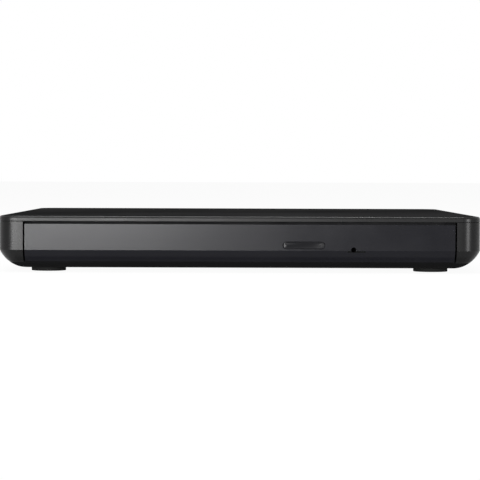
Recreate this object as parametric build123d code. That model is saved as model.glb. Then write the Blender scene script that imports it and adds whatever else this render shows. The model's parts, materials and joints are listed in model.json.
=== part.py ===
from build123d import *
import math
import os

# A slim external disc drive: a two-part plastic case round a sheet-metal drive whose tray
# slides out to the front on two telescopic rails.
# Millimetres. +Z is up, the front faces -Y, +X is to the right seen from the front.
# The origin is in the middle of the footprint, at the level the feet stand on.

# Disc and the well it lies in
disc_diameter = 120.0
disc_bore = 15.0
disc_lift = 1.2  # underside of the disc above the well floor
well_play = 0.75  # radial room round the disc

# Side stack, from the well outwards to the outside of the case
tray_side_rim = 1.55
tray_side_air = 0.7  # between the tray plate and the chassis wall
sheet = 0.5  # chassis sheet metal
pillar_width = 8.0  # case beside the drive
tray_front_gap = 0.5  # between the tray front and the opening in the case
bay_play = 0.25  # between the chassis and the case bay

# Length stack, from the front face to the rear face
front_depth = 4.0  # tray front panel, front to back
front_back_gap = 0.5  # from the back of the tray front to the chassis
tray_end_rim = 1.25
tray_rear_air = 2.0  # between the closed tray and the chassis rear wall
rear_room = 8.1  # bay behind the drive for the bridge board

# Height stack, from the table up to the top
foot_proud = 1.15
wall = 1.4  # case wall and floor
pad_height = 0.25
flex_room = 0.9  # between the chassis floor and the tray shield
shield_sheet = 0.3
skirt_height = 4.3
plate_floor = 1.2  # tray plate under the disc well
well_depth = 3.2
head_room = 1.6  # between the tray and the chassis cover
lid_gap = 0.05
lid_thickness = 1.4

# Outer form of the case
corner_radius = 6.0
crease_rise = 5.25  # crease above the flat bottom
crease_lean = 27.0  # degrees from upright, of the curved lower edge at the crease
lid_bevel = 0.5
seam_gap = 0.1
rim_drop = 0.25  # from the lid underside down to the rim it stands on
lip_rise = 0.35  # front lip above the case floor
front_foot_gap = 0.3  # between the front lip and the tray front
front_rise = 1.21  # tray front above the tray
front_skin = 1.5

# Feet and the screws under them
foot_diameter = 10.4
foot_side_inset = 14.0
foot_end_inset = 14.5
foot_recess = 0.3
foot_round = 0.35
case_screw_diameter = 2.0
case_screw_head = 4.0
case_screw_head_height = 0.55
case_screw_reach = 0.4  # tip above the chassis floor
pad_diameter = 8.0

# Lid catches
catch_width = 8.0
catch_thickness = 1.0
catch_drop = 2.6
catch_barb = 0.4
catch_play = 0.1
catch_pitch = 42.0

# Telescopic rails
guide_width = 2.8
slide_gap = 0.3  # between the fixed guide and the tray skirt
skirt_width = 3.4
guide_groove = 1.6
skirt_groove = 1.7
groove_height = 2.4
groove_lift = 0.5  # groove above the bottom of the skirt
slide_play = 0.05
rail_end_play = 0.1
rail_front_inset = 4.0  # from the front of the tray to the front of the slide rail
guide_height = 5.3
guide_rear_inset = 5.0
guide_end_wall = 1.0
skirt_rear_inset = 12.0  # from the rear of the tray plate to the rear of its skirt
skirt_end_wall = 1.5

# Eject button and release hole in the tray front
button_width = 12.45
button_height = 2.1
button_side_inset = 45.0  # middle of the button from the right end of the tray front
button_z = 8.25
button_play = 0.12
button_flange = 0.5
button_flange_thickness = 0.8
button_stem = 3.0
button_stem_height = 1.1
button_inset = 0.05  # button behind the front face
button_travel = 0.5
switch_plunger_inset = 0.35
switch_plunger_length = 0.55
release_hole = 1.3
release_side_inset = 30.2
release_collar = 3.4
release_rise = 0.55  # hole centre above the crease
front_clip_width = 4.0
clip_inner_inset = 34.0  # inner pair of clips from the sides of the drive
clip_outer_inset = 14.0
front_clip_thickness = 1.0
front_clip_reach = 2.6
front_clip_play = 0.1

# Traverse: the frame with the spindle, the rods and the pickup
traverse_turn = 225.0  # degrees from +X to the direction in which the pickup moves outwards
lens_inner = 23.0
lens_edge_inset = 2.0  # outermost lens position inside the edge of the disc
frame_lift = 0.7
frame_air = 0.2
frame_rim = 1.6
frame_near = 17.0  # frame beyond the spindle, away from the pickup
frame_low_side = 23.0
frame_high_side = 29.0
frame_end = 10.5  # frame past the outermost lens position
frame_side_air = 0.5
rod_offset = 15.0
rod_diameter = 2.5
rod_near = 8.7
rod_end_seat = 2.6
rod_play = 0.03
deck_hole_air = 1.3
deck_sheet = 0.5
deck_ledge = 3.0
deck_play = 0.15
lens_slot = 13.0
damper_diameter = 3.0
damper_flange = 4.2
damper_flange_height = 0.25
damper_inset = 16.0  # outer pair of dampers from the outermost lens position

# Spindle motor, turntable and hub
base_sheet = 0.5
motor_hole_play = 0.8
rotor_diameter = 22.0
rotor_wall = 0.9
rotor_height = 3.2
rotor_lift = 0.4  # rotor above the motor base
shaft_diameter = 2.5
bearing_wall = 1.2
bearing_play = 0.02
stator_play = 0.5
stator_height = 1.9
stator_poles = 9
turntable_diameter = 26.0
turntable_thickness = 0.8
turntable_neck = 13.0
friction_pad = 0.25
friction_inner = 17.4
hub_play = 0.05  # radial, between the hub and the bore of the disc
hub_seat = 1.5  # straight part of the hub above the disc seat
hub_dome = 1.1
claw_count = 3
claw_width = 2.6
claw_height = 0.75
claw_inner = 4.2
claw_proud = 0.45
claw_travel = 0.6
claw_play = 0.08
claw_lift = 0.15  # claws above the top of the disc

# Pickup, its lens carrier and its drive
sled_back = 9.0
bearing_overhang = 2.0
follower_inset = 3.0
follower_width = 4.0
sled_front = 7.0
sled_half_width = 10.5
sled_air = 0.25
bearing_block_width = 5.0
bearing_block_length = 11.5
carrier_length = 10.0
carrier_width = 8.4
carrier_height = 1.6
lens_diameter = 4.0
lens_height = 0.8
focus_travel = 0.4
focus_air = 0.05
screw_offset = 20.9
lead_screw_diameter = 2.4
lead_screw_play = 0.04
lead_screw_journal = 3.0
sled_motor_diameter = 6.0
sled_motor_length = 10.6
sled_motor_near = 0.6
bracket_length = 1.8

# Boards, chips and small screws
board_thickness = 0.8
board_air = 0.6
tray_board_edge = 1.5
tray_board_band = 15.0
tray_board_arm = 21.0
controller_chip = 10.0
memory_chip = 6.0
memory_offset = 26.0
driver_chip = 8.0
driver_length = 12.0
converter_offset = 17.0
board_latch_gap = 22.1  # from the latch's reach to the front of the tray board
chip_height = 1.2
small_screw = 1.4
small_screw_head = 2.6
small_screw_head_height = 0.3
small_screw_reach = 2.4

# Flat flexible cable and its two connectors
flex_width = 20.0
flex_thickness = 0.15
flex_lift = 0.15
flex_rise = 0.45  # between the middles of its two runs
flex_connector_length = 4.0
flex_connector_margin = 1.0
tray_connector_inset = 9.0  # from the rear of the skirt to the rear of the connector

# Latch
latch_side_inset = 7.5  # pivot from the inside of the skirt
latch_pivot_inset = 4.0  # behind the inside of the tray's front wall
latch_pin_diameter = 1.5
latch_hub = 3.8
latch_play = 0.04
latch_arm = 1.6
latch_reach = 8.4
latch_lip = 4.2
latch_thickness = 0.6
latch_floor_air = 0.18
latch_post_diameter = 2.0
latch_post_play = 0.1
latch_lever_height = 1.4
solenoid_length = 14.0
solenoid_diameter = 3.4

# Ejector plunger at the rear of the chassis
ejector_side_inset = 22.5  # from the inside of the skirt
ejector_width = 6.0
ejector_length = 12.5
ejector_wall = 0.8
plunger_diameter = 2.4
plunger_collar = 3.4
plunger_collar_length = 0.8
plunger_play = 0.05
ejector_stroke = 6.0
spring_wire = 0.35

# Bridge board and sockets at the rear
bridge_left_inset = 12.0  # from the left side of the drive
bridge_right_margin = 8.5  # board beyond the link on the right
bridge_chip = 5.6
crystal_length = 3.0
capacitor_diameter = 3.0
bridge_board_inset = 0.3
bridge_standoff = 2.45
standoff_diameter = 4.4
usb_side_inset = 22.0
usb_width = 7.7
usb_height = 3.9
usb_sheet = 0.3
usb_recess = 0.2
usb_play = 0.2
usb_tongue_width = 5.0
usb_tongue_thickness = 0.9
link_width = 31.0
link_tongue = 1.1
link_socket_depth = 5.7
link_plug_depth = 4.0
link_slot_depth = 4.0
link_side_wall = 1.5
link_end_play = 0.5
rear_board_length = 9.0
rear_board_width = 46.0
rear_board_leg = 3.0

# Levels worked out from the height stack
case_bottom = foot_proud
floor_top = case_bottom + wall
pan_bottom = floor_top + pad_height
pan_top = pan_bottom + sheet
shield_bottom = pan_top + flex_room
skirt_bottom = shield_bottom + shield_sheet
plate_bottom = skirt_bottom + skirt_height
well_floor = plate_bottom + plate_floor
tray_top = well_floor + well_depth
cover_bottom = tray_top + head_room
cover_top = cover_bottom + sheet
lid_underside = cover_top + lid_gap
lid_top = lid_underside + lid_thickness
case_rim = lid_underside - rim_drop
lip_top = floor_top + lip_rise
front_bottom = lip_top + front_foot_gap
front_top = tray_top + front_rise
crease = case_bottom + crease_rise
disc_bottom = well_floor + disc_lift
groove_bottom = skirt_bottom + groove_lift
groove_top = groove_bottom + groove_height
deck_bottom = well_floor - deck_sheet
frame_bottom = skirt_bottom + frame_lift
frame_top = plate_bottom - frame_air
rod_z = (frame_bottom + frame_top) / 2
release_z = crease + release_rise

# Half widths worked out from the side stack
well_radius = disc_diameter / 2 + well_play
tray_half = well_radius + tray_side_rim
pan_inner = tray_half + tray_side_air
pan_outer = pan_inner + sheet
drive_half = pan_outer + sheet
case_half = drive_half + pillar_width
guide_inner = pan_inner - guide_width
skirt_outer = guide_inner - slide_gap
skirt_inner = skirt_outer - skirt_width
button_x = drive_half - button_side_inset
release_x = drive_half - release_side_inset
latch_pivot_x = skirt_inner - latch_side_inset
ejector_x = skirt_inner - ejector_side_inset
bridge_board_left = bridge_left_inset - drive_half
bridge_board_right = link_width / 2 + bridge_right_margin
usb_x = usb_side_inset - drive_half

# Places along the depth worked out from the length stack
tray_length = 2 * well_radius + 2 * tray_end_rim
case_depth = front_depth + tray_length + tray_rear_air + sheet + rear_room + wall
front_face = -case_depth / 2
rear_face = case_depth / 2
tray_front = front_face + front_depth
tray_rear = tray_front + tray_length
chassis_front = tray_front + front_back_gap
chassis_rear = tray_rear + tray_rear_air + sheet
hub_y = tray_front + tray_end_rim + well_radius
skirt_front = tray_front + skirt_end_wall
skirt_rear = tray_rear - skirt_rear_inset
skirt_rear_inner = skirt_rear - skirt_end_wall
rail_front = tray_front + rail_front_inset
guide_rear = chassis_rear - sheet - guide_rear_inset
rail_rear = guide_rear - guide_end_wall - rail_end_play

# Lower edge of the case: a round that meets the bottom flush and the wall at the crease
edge_radius = crease_rise / (1 - math.sin(math.radians(crease_lean)))
edge_inset = edge_radius * math.cos(math.radians(crease_lean))

# Pickup travel and the direction it moves in
lens_outer = disc_diameter / 2 - lens_edge_inset
carrier_play = focus_travel + focus_air
damper_far = lens_outer - damper_inset
traverse = Location((0, hub_y, 0), (0, 0, traverse_turn))
motor_hole = rotor_diameter / 2 + 2 * motor_hole_play + rotor_wall


def block(x0, x1, y0, y1, z0, z1):
    """Upright block between two opposite corners."""
    return Pos((x0 + x1) / 2, (y0 + y1) / 2, (z0 + z1) / 2) * Box(x1 - x0, y1 - y0, z1 - z0)


def round_bar(x, y, z0, z1, diameter):
    """Upright round bar between two heights."""
    return Pos(x, y, (z0 + z1) / 2) * Cylinder(diameter / 2, z1 - z0)


def bar_along_x(x0, x1, y, z, diameter):
    """Round bar lying along X."""
    return Pos((x0 + x1) / 2, y, z) * Rot(0, 90, 0) * Cylinder(diameter / 2, x1 - x0)


def bar_along_y(x, y0, y1, z, diameter):
    """Round bar lying along Y."""
    return Pos(x, (y0 + y1) / 2, z) * Rot(90, 0, 0) * Cylinder(diameter / 2, y1 - y0)


def pill_along_y(x, z, width, height, y0, y1):
    """Bar along Y with the outline of a pill, wider than high."""
    outline = SlotOverall(width, height)
    return Pos(x, y0, z) * extrude(Rot(90, 0, 0) * outline, -(y1 - y0))


def both_sides(shape):
    """The shape and its mirror image on the other side of the drive."""
    return shape + mirror(shape, Plane.YZ)


def edge_profile(half, inset, top):
    """Half outline of the case, upright, from its middle out to a side wall."""
    radius = edge_radius - inset
    centre_x = half - edge_inset
    centre_z = case_bottom + edge_radius
    start = math.asin(max(0.0, -centre_x) / radius)
    end = math.asin((edge_inset - inset) / radius)
    points = []
    for angle in (start, (start + end) / 2, end):
        points.append((centre_x + radius * math.sin(angle), centre_z - radius * math.cos(angle)))
    round_part = ThreePointArc(*points)
    upper_part = Polyline(points[2], (half - inset, top), (0, top), (0, points[0][1]))
    lines = round_part + upper_part
    if centre_x > 0:
        lines += Line((0, points[0][1]), points[0])
    return make_face(lines)


def case_form(inset, top):
    """Outer form of the case, drawn in on every side by the inset, up to a height."""
    side = edge_profile(case_half, inset, top)
    side += mirror(side, Plane.YZ)
    end = edge_profile(case_depth / 2, inset, top)
    end += mirror(end, Plane.YZ)
    corner = revolve(Rot(90, 0, 0) * edge_profile(corner_radius, inset, top), Axis.Z)
    straight_y = case_depth / 2 - corner_radius
    straight_x = case_half - corner_radius
    form = extrude(Rot(90, 0, 0) * side, straight_y, both=True)
    form += extrude(Rot(0, 0, 90) * Rot(90, 0, 0) * end, straight_x, both=True)
    for x in (-straight_x, straight_x):
        for y in (-straight_y, straight_y):
            form += Pos(x, y, 0) * corner
    form &= extrude(Rot(90, 0, 0) * side, case_depth, both=True)
    form &= extrude(Rot(0, 0, 90) * Rot(90, 0, 0) * end, case_half * 2, both=True)
    return form


def rounded_slab(inset, z0, z1):
    """Flat slab with the plan outline of the case, drawn in by the inset."""
    outline = RectangleRounded(2 * (case_half - inset), case_depth - 2 * inset, corner_radius - inset)
    return Pos(0, 0, z0) * extrude(outline, z1 - z0)


def foot_places():
    """Plan positions of the feet and of the screws hidden under them."""
    x = case_half - foot_side_inset
    y = case_depth / 2 - foot_end_inset
    return [(sx * x, sy * y) for sx in (-1, 1) for sy in (-1, 1)]


def catch_places():
    """Plan positions of the lid catches along the side walls."""
    return [step * catch_pitch for step in (-1, 0, 1)]


def bridge_middle():
    """Middle line of the bridge board."""
    return (chassis_rear + inner_reach(rear_face, floor_top + bridge_standoff)) / 2


def standoff_places():
    """Plan positions of the two screws of the bridge board."""
    y = bridge_middle()
    inset = standoff_diameter / 2 + bridge_board_inset
    return [(bridge_board_left + inset, y), (bridge_board_right - inset, y)]


def inner_reach(half, z):
    """Distance from the middle of the case to the inside of its wall at a height."""
    if z > crease:
        return half - wall
    radius = edge_radius - wall
    drop = case_bottom + edge_radius - z
    return min(half - wall, half - edge_inset + math.sqrt(radius**2 - drop**2))


board_bottom = floor_top + bridge_standoff
board_top = board_bottom + board_thickness
rear_board_bottom = pan_top + 2 * flex_lift + chip_height
rear_board_top = rear_board_bottom + board_thickness
rear_board_rear = chassis_rear - sheet - frame_air
link_top = plate_bottom - frame_air
rear_board_front = rear_board_rear - rear_board_length


def bottom_case():
    """Lower case with its floor, walls, front lip, pads, standoffs and rear socket opening."""
    case = case_form(0, case_rim)
    case -= case_form(wall, case_rim + wall)
    bay_half = drive_half + bay_play
    case -= block(-bay_half, bay_half, tray_front - bay_play, chassis_rear + bay_play, floor_top, case_rim)
    opening_half = drive_half + tray_front_gap
    case -= block(-opening_half, opening_half, front_face - wall, tray_front, lip_top, lid_top)
    for x, y in foot_places():
        case += round_bar(x, y, floor_top, pan_bottom, pad_diameter)
        case -= round_bar(x, y, case_bottom - wall, case_bottom + foot_recess, foot_diameter)
        head_top = case_bottom + foot_recess + case_screw_head_height
        case -= round_bar(x, y, case_bottom, head_top, case_screw_head)
        case -= round_bar(x, y, case_bottom, pan_bottom + sheet, case_screw_diameter)
    for x, y in standoff_places():
        case += round_bar(x, y, floor_top, board_bottom, standoff_diameter)
        case -= round_bar(x, y, board_top - small_screw_reach, board_top, small_screw)
    for y in catch_places():
        inner = case_half - wall
        half = catch_width / 2 + catch_play
        low = lid_underside - catch_drop
        high = low + 2 * catch_barb + catch_play
        outer = inner + catch_barb + catch_play
        pocket = block(inner - wall, outer, y - half, y + half, low - catch_play, high)
        case -= both_sides(pocket)
    hole_width = usb_width + 2 * usb_play
    hole_height = usb_height + 2 * usb_play
    case -= block(
        usb_x - hole_width / 2, usb_x + hole_width / 2, rear_face - 2 * wall, rear_face + wall,
        board_top - usb_play, board_top - usb_play + hole_height,
    )
    return case


def top_cover():
    """Flat lid with a bevelled edge, a rim that stands on the case wall and six catches."""
    lid = rounded_slab(0, case_rim + seam_gap, lid_top)
    lid = chamfer(lid.faces().sort_by(Axis.Z)[-1].edges(), lid_bevel)
    lid -= rounded_slab(wall, case_rim, lid_underside)
    lid += rounded_slab(wall / 2, case_rim, lid_underside) - rounded_slab(wall, case_rim, lid_underside)
    opening_half = drive_half + tray_front_gap
    front_cut = (front_face - wall, front_face + 2 * wall)
    lid -= block(-opening_half, opening_half, *front_cut, 0, case_rim + seam_gap)
    for y in catch_places():
        outer = case_half - wall - catch_play
        half = catch_width / 2
        low = lid_underside - catch_drop
        catch = block(outer - catch_thickness, outer, y - half, y + half, low, lid_underside)
        catch += block(outer, outer + catch_barb, y - half, y + half, low, low + 2 * catch_barb)
        lid += both_sides(catch)
    return lid


def rubber_feet():
    """Four round feet, each let into a shallow recess over its screw."""
    feet = Part()
    for x, y in foot_places():
        foot = round_bar(x, y, 0, case_bottom + foot_recess, foot_diameter)
        feet += fillet(foot.edges().sort_by(Axis.Z)[0], foot_round)
    return feet


def case_screws():
    """Screws that hold the drive to the case floor, hidden by the feet."""
    screws = Part()
    head_bottom = case_bottom + foot_recess
    head_top = head_bottom + case_screw_head_height
    for x, y in foot_places():
        screws += round_bar(x, y, head_bottom, head_top, case_screw_head)
        screws += round_bar(x, y, head_top, pan_top + case_screw_reach, case_screw_diameter)
    return screws


def bridge_board():
    """Printed board between the drive and the rear wall."""
    rear = inner_reach(rear_face, board_bottom) - bridge_board_inset
    front = chassis_rear + bridge_board_inset
    board = block(bridge_board_left, bridge_board_right, front, rear, board_bottom, board_top)
    for x, y in standoff_places():
        board -= round_bar(x, y, board_bottom, board_top, small_screw)
    return board


def bridge_board_chips():
    """Bridge chip, its crystal and the larger passives, soldered on the board."""
    y = bridge_middle()
    half = bridge_chip / 2
    high = board_top + chip_height
    left = usb_x + usb_width
    chips = block(left, left + bridge_chip, y - half, y + half, board_top, high)
    left += bridge_chip + crystal_length / 2
    chips += block(left, left + crystal_length, y - half / 2, y + half / 2, board_top, high)
    side = link_width / 2 + capacitor_diameter
    for x in (-side, side):
        chips += round_bar(x, y, board_top, board_top + 2 * chip_height, capacitor_diameter)
    return chips


def board_screws():
    """Two screws that hold the bridge board on its standoffs."""
    screws = Part()
    for x, y in standoff_places():
        screws += round_bar(x, y, board_top, board_top + small_screw_head_height, small_screw_head)
        screws += round_bar(x, y, board_top - small_screw_reach, board_top, small_screw)
    return screws


def usb_socket():
    """Folded metal shell of the data and power socket."""
    front = chassis_rear + bridge_board_inset
    rear = rear_face - usb_recess
    half = usb_width / 2
    shell = block(usb_x - half, usb_x + half, front, rear, board_top, board_top + usb_height)
    shell -= block(
        usb_x - half + usb_sheet, usb_x + half - usb_sheet, front + usb_sheet, rear + usb_sheet,
        board_top + usb_sheet, board_top + usb_height - usb_sheet,
    )
    return shell


def usb_tongue():
    """Plastic tongue that carries the contacts inside the socket."""
    front = chassis_rear + bridge_board_inset + usb_sheet
    half = usb_width / 2 - usb_sheet
    back = block(
        usb_x - half, usb_x + half, front, front + 2 * usb_tongue_thickness,
        board_top + usb_sheet, board_top + usb_height - usb_sheet,
    )
    middle = board_top + usb_height / 2
    half = usb_tongue_width / 2
    thick = usb_tongue_thickness
    end = rear_face - usb_recess - thick
    tongue = block(usb_x - half, usb_x + half, front, end, middle - thick / 2, middle + thick / 2)
    return back + tongue


def link_socket():
    """Receptacle of the drive, on its rear board and open to the rear."""
    half = link_width / 2
    body = block(-half, half, chassis_rear - link_socket_depth, chassis_rear, rear_board_top, link_top)
    middle = (rear_board_top + link_top) / 2
    slot = link_tongue / 2 + frame_air
    inner = half - link_side_wall
    body -= block(-inner, inner, chassis_rear - link_slot_depth, chassis_rear, middle - slot, middle + slot)
    return body


def link_plug():
    """Plug on the bridge board whose tongue enters the receptacle of the drive."""
    half = link_width / 2
    near = chassis_rear + bridge_board_inset
    plug = block(-half, half, near, chassis_rear + link_plug_depth, board_top, link_top)
    middle = (rear_board_top + link_top) / 2
    tongue = link_tongue / 2
    inner = half - link_side_wall - link_end_play
    plug += block(
        -inner, inner, chassis_rear - link_slot_depth + link_end_play, near,
        middle - tongue, middle + tongue,
    )
    return plug


def chassis_pan():
    """Sheet-metal tray of the drive: floor, two side walls and a rear wall, open at the front."""
    pan = block(-pan_outer, pan_outer, chassis_front, chassis_rear, pan_bottom, cover_bottom)
    pan -= block(-pan_inner, pan_inner, chassis_front - sheet, chassis_rear - sheet, pan_top, cover_top)
    half = link_width / 2 + frame_air
    low = rear_board_bottom - frame_air
    high = link_top + frame_air
    pan -= block(-half, half, chassis_rear - 2 * sheet, chassis_rear + sheet, low, high)
    for x, y in foot_places():
        pan -= round_bar(x, y, pan_bottom - sheet, pan_top + sheet, case_screw_diameter)
    return pan


def chassis_cover():
    """Sheet-metal cover of the drive with flanges folded down outside the side walls."""
    flange_bottom = tray_top - head_room
    cover = block(-drive_half, drive_half, chassis_front, chassis_rear, flange_bottom, cover_top)
    length = (chassis_front - sheet, chassis_rear + sheet)
    cover -= block(-pan_outer, pan_outer, *length, flange_bottom - sheet, cover_bottom)
    return cover


def rail_guide():
    """Fixed plastic guide on the right chassis wall, grooved for the slide rail."""
    guide = block(guide_inner, pan_inner, chassis_front, guide_rear, pan_top, pan_top + guide_height)
    groove_outer = guide_inner + guide_groove
    guide -= block(
        guide_inner - sheet, groove_outer, chassis_front - sheet, guide_rear - guide_end_wall,
        groove_bottom, groove_top,
    )
    return guide


def slide_rail():
    """Intermediate rail on the right, half in the guide and half in the skirt of the tray."""
    inner = skirt_outer - skirt_groove + 2 * slide_play
    outer = guide_inner + guide_groove - 2 * slide_play
    rail = block(inner, outer, rail_front, rail_rear, groove_bottom + slide_play, groove_top - slide_play)
    return rail


def rear_board():
    """Small board at the rear of the chassis, on a leg at each end."""
    half = rear_board_width / 2
    board = block(-half, half, rear_board_front, rear_board_rear, rear_board_bottom, rear_board_top)
    for side in (-1, 1):
        x = side * (half - rear_board_leg / 2)
        leg = rear_board_leg / 2
        board += block(x - leg, x + leg, rear_board_front, rear_board_rear, pan_top, rear_board_bottom)
    return board


def rear_flex_connector():
    """Connector under the rear board that clamps the fixed end of the flat cable."""
    half = flex_width / 2 + flex_connector_margin
    front = rear_board_front
    body = block(-half, half, front, front + flex_connector_length, pan_top, rear_board_bottom)
    low = pan_top + flex_lift
    body -= block(
        -flex_width / 2, flex_width / 2, front - sheet, front + flex_connector_length / 2,
        low, low + flex_thickness,
    )
    return body


def latch_post():
    """Stub riveted in the chassis floor, which the latch hook holds."""
    x, y = latch_post_place()
    post = round_bar(x, y, pan_top, shield_bottom - flex_lift, latch_post_diameter)
    return post


def ejector_housing():
    """Plastic block at the rear of the chassis that guides the ejector plunger."""
    half = ejector_width / 2
    rear = chassis_rear - sheet
    front = rear - ejector_length
    body = block(ejector_x - half, ejector_x + half, front, rear, pan_top, frame_top)
    bore = plunger_collar + 2 * plunger_play
    body -= bar_along_y(ejector_x, front + ejector_wall, rear - ejector_wall, plunger_z(), bore)
    body -= bar_along_y(ejector_x, front - sheet, rear, plunger_z(), plunger_diameter + 2 * plunger_play)
    return body


def plunger_z():
    """Height of the ejector plunger above the table."""
    return (pan_top + frame_top) / 2


def plunger_collar_front():
    """Front of the plunger's collar while the tray is closed."""
    front = chassis_rear - sheet - ejector_length
    return front + ejector_wall + ejector_stroke + plunger_play


def ejector_plunger():
    """Sprung plunger that pushes the tray out when the latch lets go."""
    collar = plunger_collar_front()
    tip = skirt_rear + slide_gap
    rear = chassis_rear - sheet - ejector_wall
    plunger = bar_along_y(ejector_x, tip, rear, plunger_z(), plunger_diameter)
    plunger += bar_along_y(ejector_x, collar, collar + plunger_collar_length, plunger_z(), plunger_collar)
    return plunger


def ejector_spring():
    """Compressed spring round the tail of the plunger, as a plain sleeve."""
    front = plunger_collar_front() + plunger_collar_length
    rear = chassis_rear - sheet - ejector_wall
    sleeve = bar_along_y(ejector_x, front, rear, plunger_z(), plunger_collar)
    sleeve -= bar_along_y(ejector_x, front, rear, plunger_z(), plunger_collar - 2 * spring_wire)
    return sleeve


def flex_cable():
    """Flat cable from the rear board forwards along the floor, folded back under the tray."""
    low = pan_top + flex_lift
    high = low + flex_rise
    fixed_end = rear_board_front + flex_connector_length / 2
    moving_end = tray_connector_front() + flex_connector_length / 2
    fold = fold_y()
    middle_z = (low + high + flex_thickness) / 2
    outer = (high + flex_thickness - low) / 2
    half = flex_width / 2
    cable = block(-half, half, fold, fixed_end, low, low + flex_thickness)
    cable += block(-half, half, fold, moving_end, high, high + flex_thickness)
    bend = Pos(0, fold, middle_z) * Rot(0, 90, 0) * Cylinder(outer, flex_width)
    bend -= Pos(0, fold, middle_z) * Rot(0, 90, 0) * Cylinder(outer - flex_thickness, flex_width)
    bend &= block(-half, half, fold - 2 * outer, fold, low - outer, high + outer)
    return cable + bend


def tray_travel():
    """Full stroke of the tray: the whole disc well comes clear of the case."""
    return tray_length + front_depth


def tray_connector_front():
    """Front of the cable connector under the tray board."""
    return skirt_rear - tray_connector_inset - flex_connector_length


def fold_y():
    """Fold of the flat cable with the tray closed, so that it is straight with the tray out."""
    return tray_connector_front() - tray_travel() / 2


# Places inside the tray
shield_screw_top = skirt_bottom + small_screw_reach - small_screw / 2
plunger_face = tray_front + switch_plunger_inset
switch_front = plunger_face + switch_plunger_length
button_stem_end = plunger_face - button_travel - slide_play
latch_pivot_y = skirt_front + latch_pivot_inset
hook_bottom = pan_top + latch_floor_air
hook_top = hook_bottom + latch_thickness
bracket_bottom = plate_bottom - sheet
lever_bottom = release_z - latch_lever_height / 2
lever_top = release_z + latch_lever_height / 2
tray_board_bottom = skirt_bottom + board_air
tray_board_top = tray_board_bottom + board_thickness
tray_board_half = skirt_inner - tray_board_edge
tray_board_rear = skirt_rear_inner - tray_board_edge
tray_board_front = tray_board_rear - tray_board_band
arm_left = tray_board_half - tray_board_arm
arm_front = latch_pivot_y + latch_reach + board_latch_gap

# Places in the traverse, measured along and across the pickup's path from the spindle
block_back = sled_back + bearing_overhang
window_near = lens_inner - block_back - 2 * sled_air
window_far = lens_outer - block_back + bearing_block_length + 2 * sled_air
rod_far = window_far + rod_end_seat - sled_air
motor_bay_low = screw_offset - sled_motor_diameter / 2 - frame_side_air
motor_bay_high = screw_offset + sled_motor_diameter / 2 + frame_side_air
sled_bottom = frame_bottom + sled_air
sled_top = frame_top - sled_air
carrier_top = deck_bottom - carrier_play
carrier_bottom = carrier_top - carrier_height
deck_radius = disc_diameter / 2 - frame_side_air
deck_hole = turntable_diameter / 2 + deck_hole_air

# Spindle stack
rotor_bottom = frame_bottom + rotor_lift
rotor_top = rotor_bottom + rotor_height
table_top = disc_bottom - friction_pad
table_bottom = table_top - turntable_thickness
hub_radius = disc_bore / 2 - hub_play
hub_top = disc_bottom + hub_seat
claw_bottom = disc_bottom + disc_lift + claw_lift
claw_top = claw_bottom + claw_height
claw_outer = hub_radius + claw_proud


def latch_post_place():
    """Plan position of the chassis stub, just in front of the lip of the latch hook."""
    x = latch_pivot_x - latch_arm / 2 - latch_lip / 2
    y = latch_pivot_y + latch_reach - latch_post_play - latch_post_diameter / 2
    return x, y


def shield_screw_places():
    """Plan positions of the six screws that hold the shield to the skirt of the tray."""
    x = skirt_inner + (skirt_width - skirt_groove) / 2
    span = skirt_rear - skirt_front
    rows = [skirt_front + span * share for share in (0.12, 0.5, 0.88)]
    return [(side * x, y) for side in (-1, 1) for y in rows]


def board_boss_places():
    """Plan positions of the three bosses that carry the tray board."""
    inset = small_screw_head
    x = tray_board_half - inset
    y = tray_board_rear - inset
    return [(-x, y), (x, y), (x, arm_front + inset)]


def damper_places():
    """Damper positions in the traverse: two beside the spindle, two out along its sides."""
    near = -frame_near + damper_flange
    low = -frame_low_side + damper_flange / 2
    high = frame_high_side - damper_flange / 2
    return [(near, low), (near, high), (damper_far, low), (damper_far, high)]


def deck_screw_places():
    """Positions in the traverse of the three screws that hold the deck plate."""
    rear = -frame_near - frame_side_air - deck_ledge / 2
    side = -frame_low_side - frame_side_air - deck_ledge / 2
    return [(rear, -frame_low_side * 0.6), (rear, frame_high_side * 0.5), (lens_outer / 2, side)]


def tray_interior(inset, z0, z1):
    """Room inside the skirt of the tray, drawn in by the inset."""
    half = skirt_inner - inset
    return block(-half, half, skirt_front + inset, skirt_rear_inner - inset, z0, z1)


def traverse_block(x0, x1, y0, y1, z0, z1):
    """Block in the traverse's own directions."""
    return traverse * block(x0, x1, y0, y1, z0, z1)


def deck_outline(play, z0, z1):
    """Outline of the deck plate: a rectangle round the traverse, cut to a circle in the well."""
    grow = frame_side_air + deck_ledge + play
    rough = traverse_block(
        -frame_near - grow, lens_outer + frame_end, -frame_low_side - grow, frame_high_side + grow, z0, z1,
    )
    return rough & round_bar(0, hub_y, z0, z1, 2 * (deck_radius + play))


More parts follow.
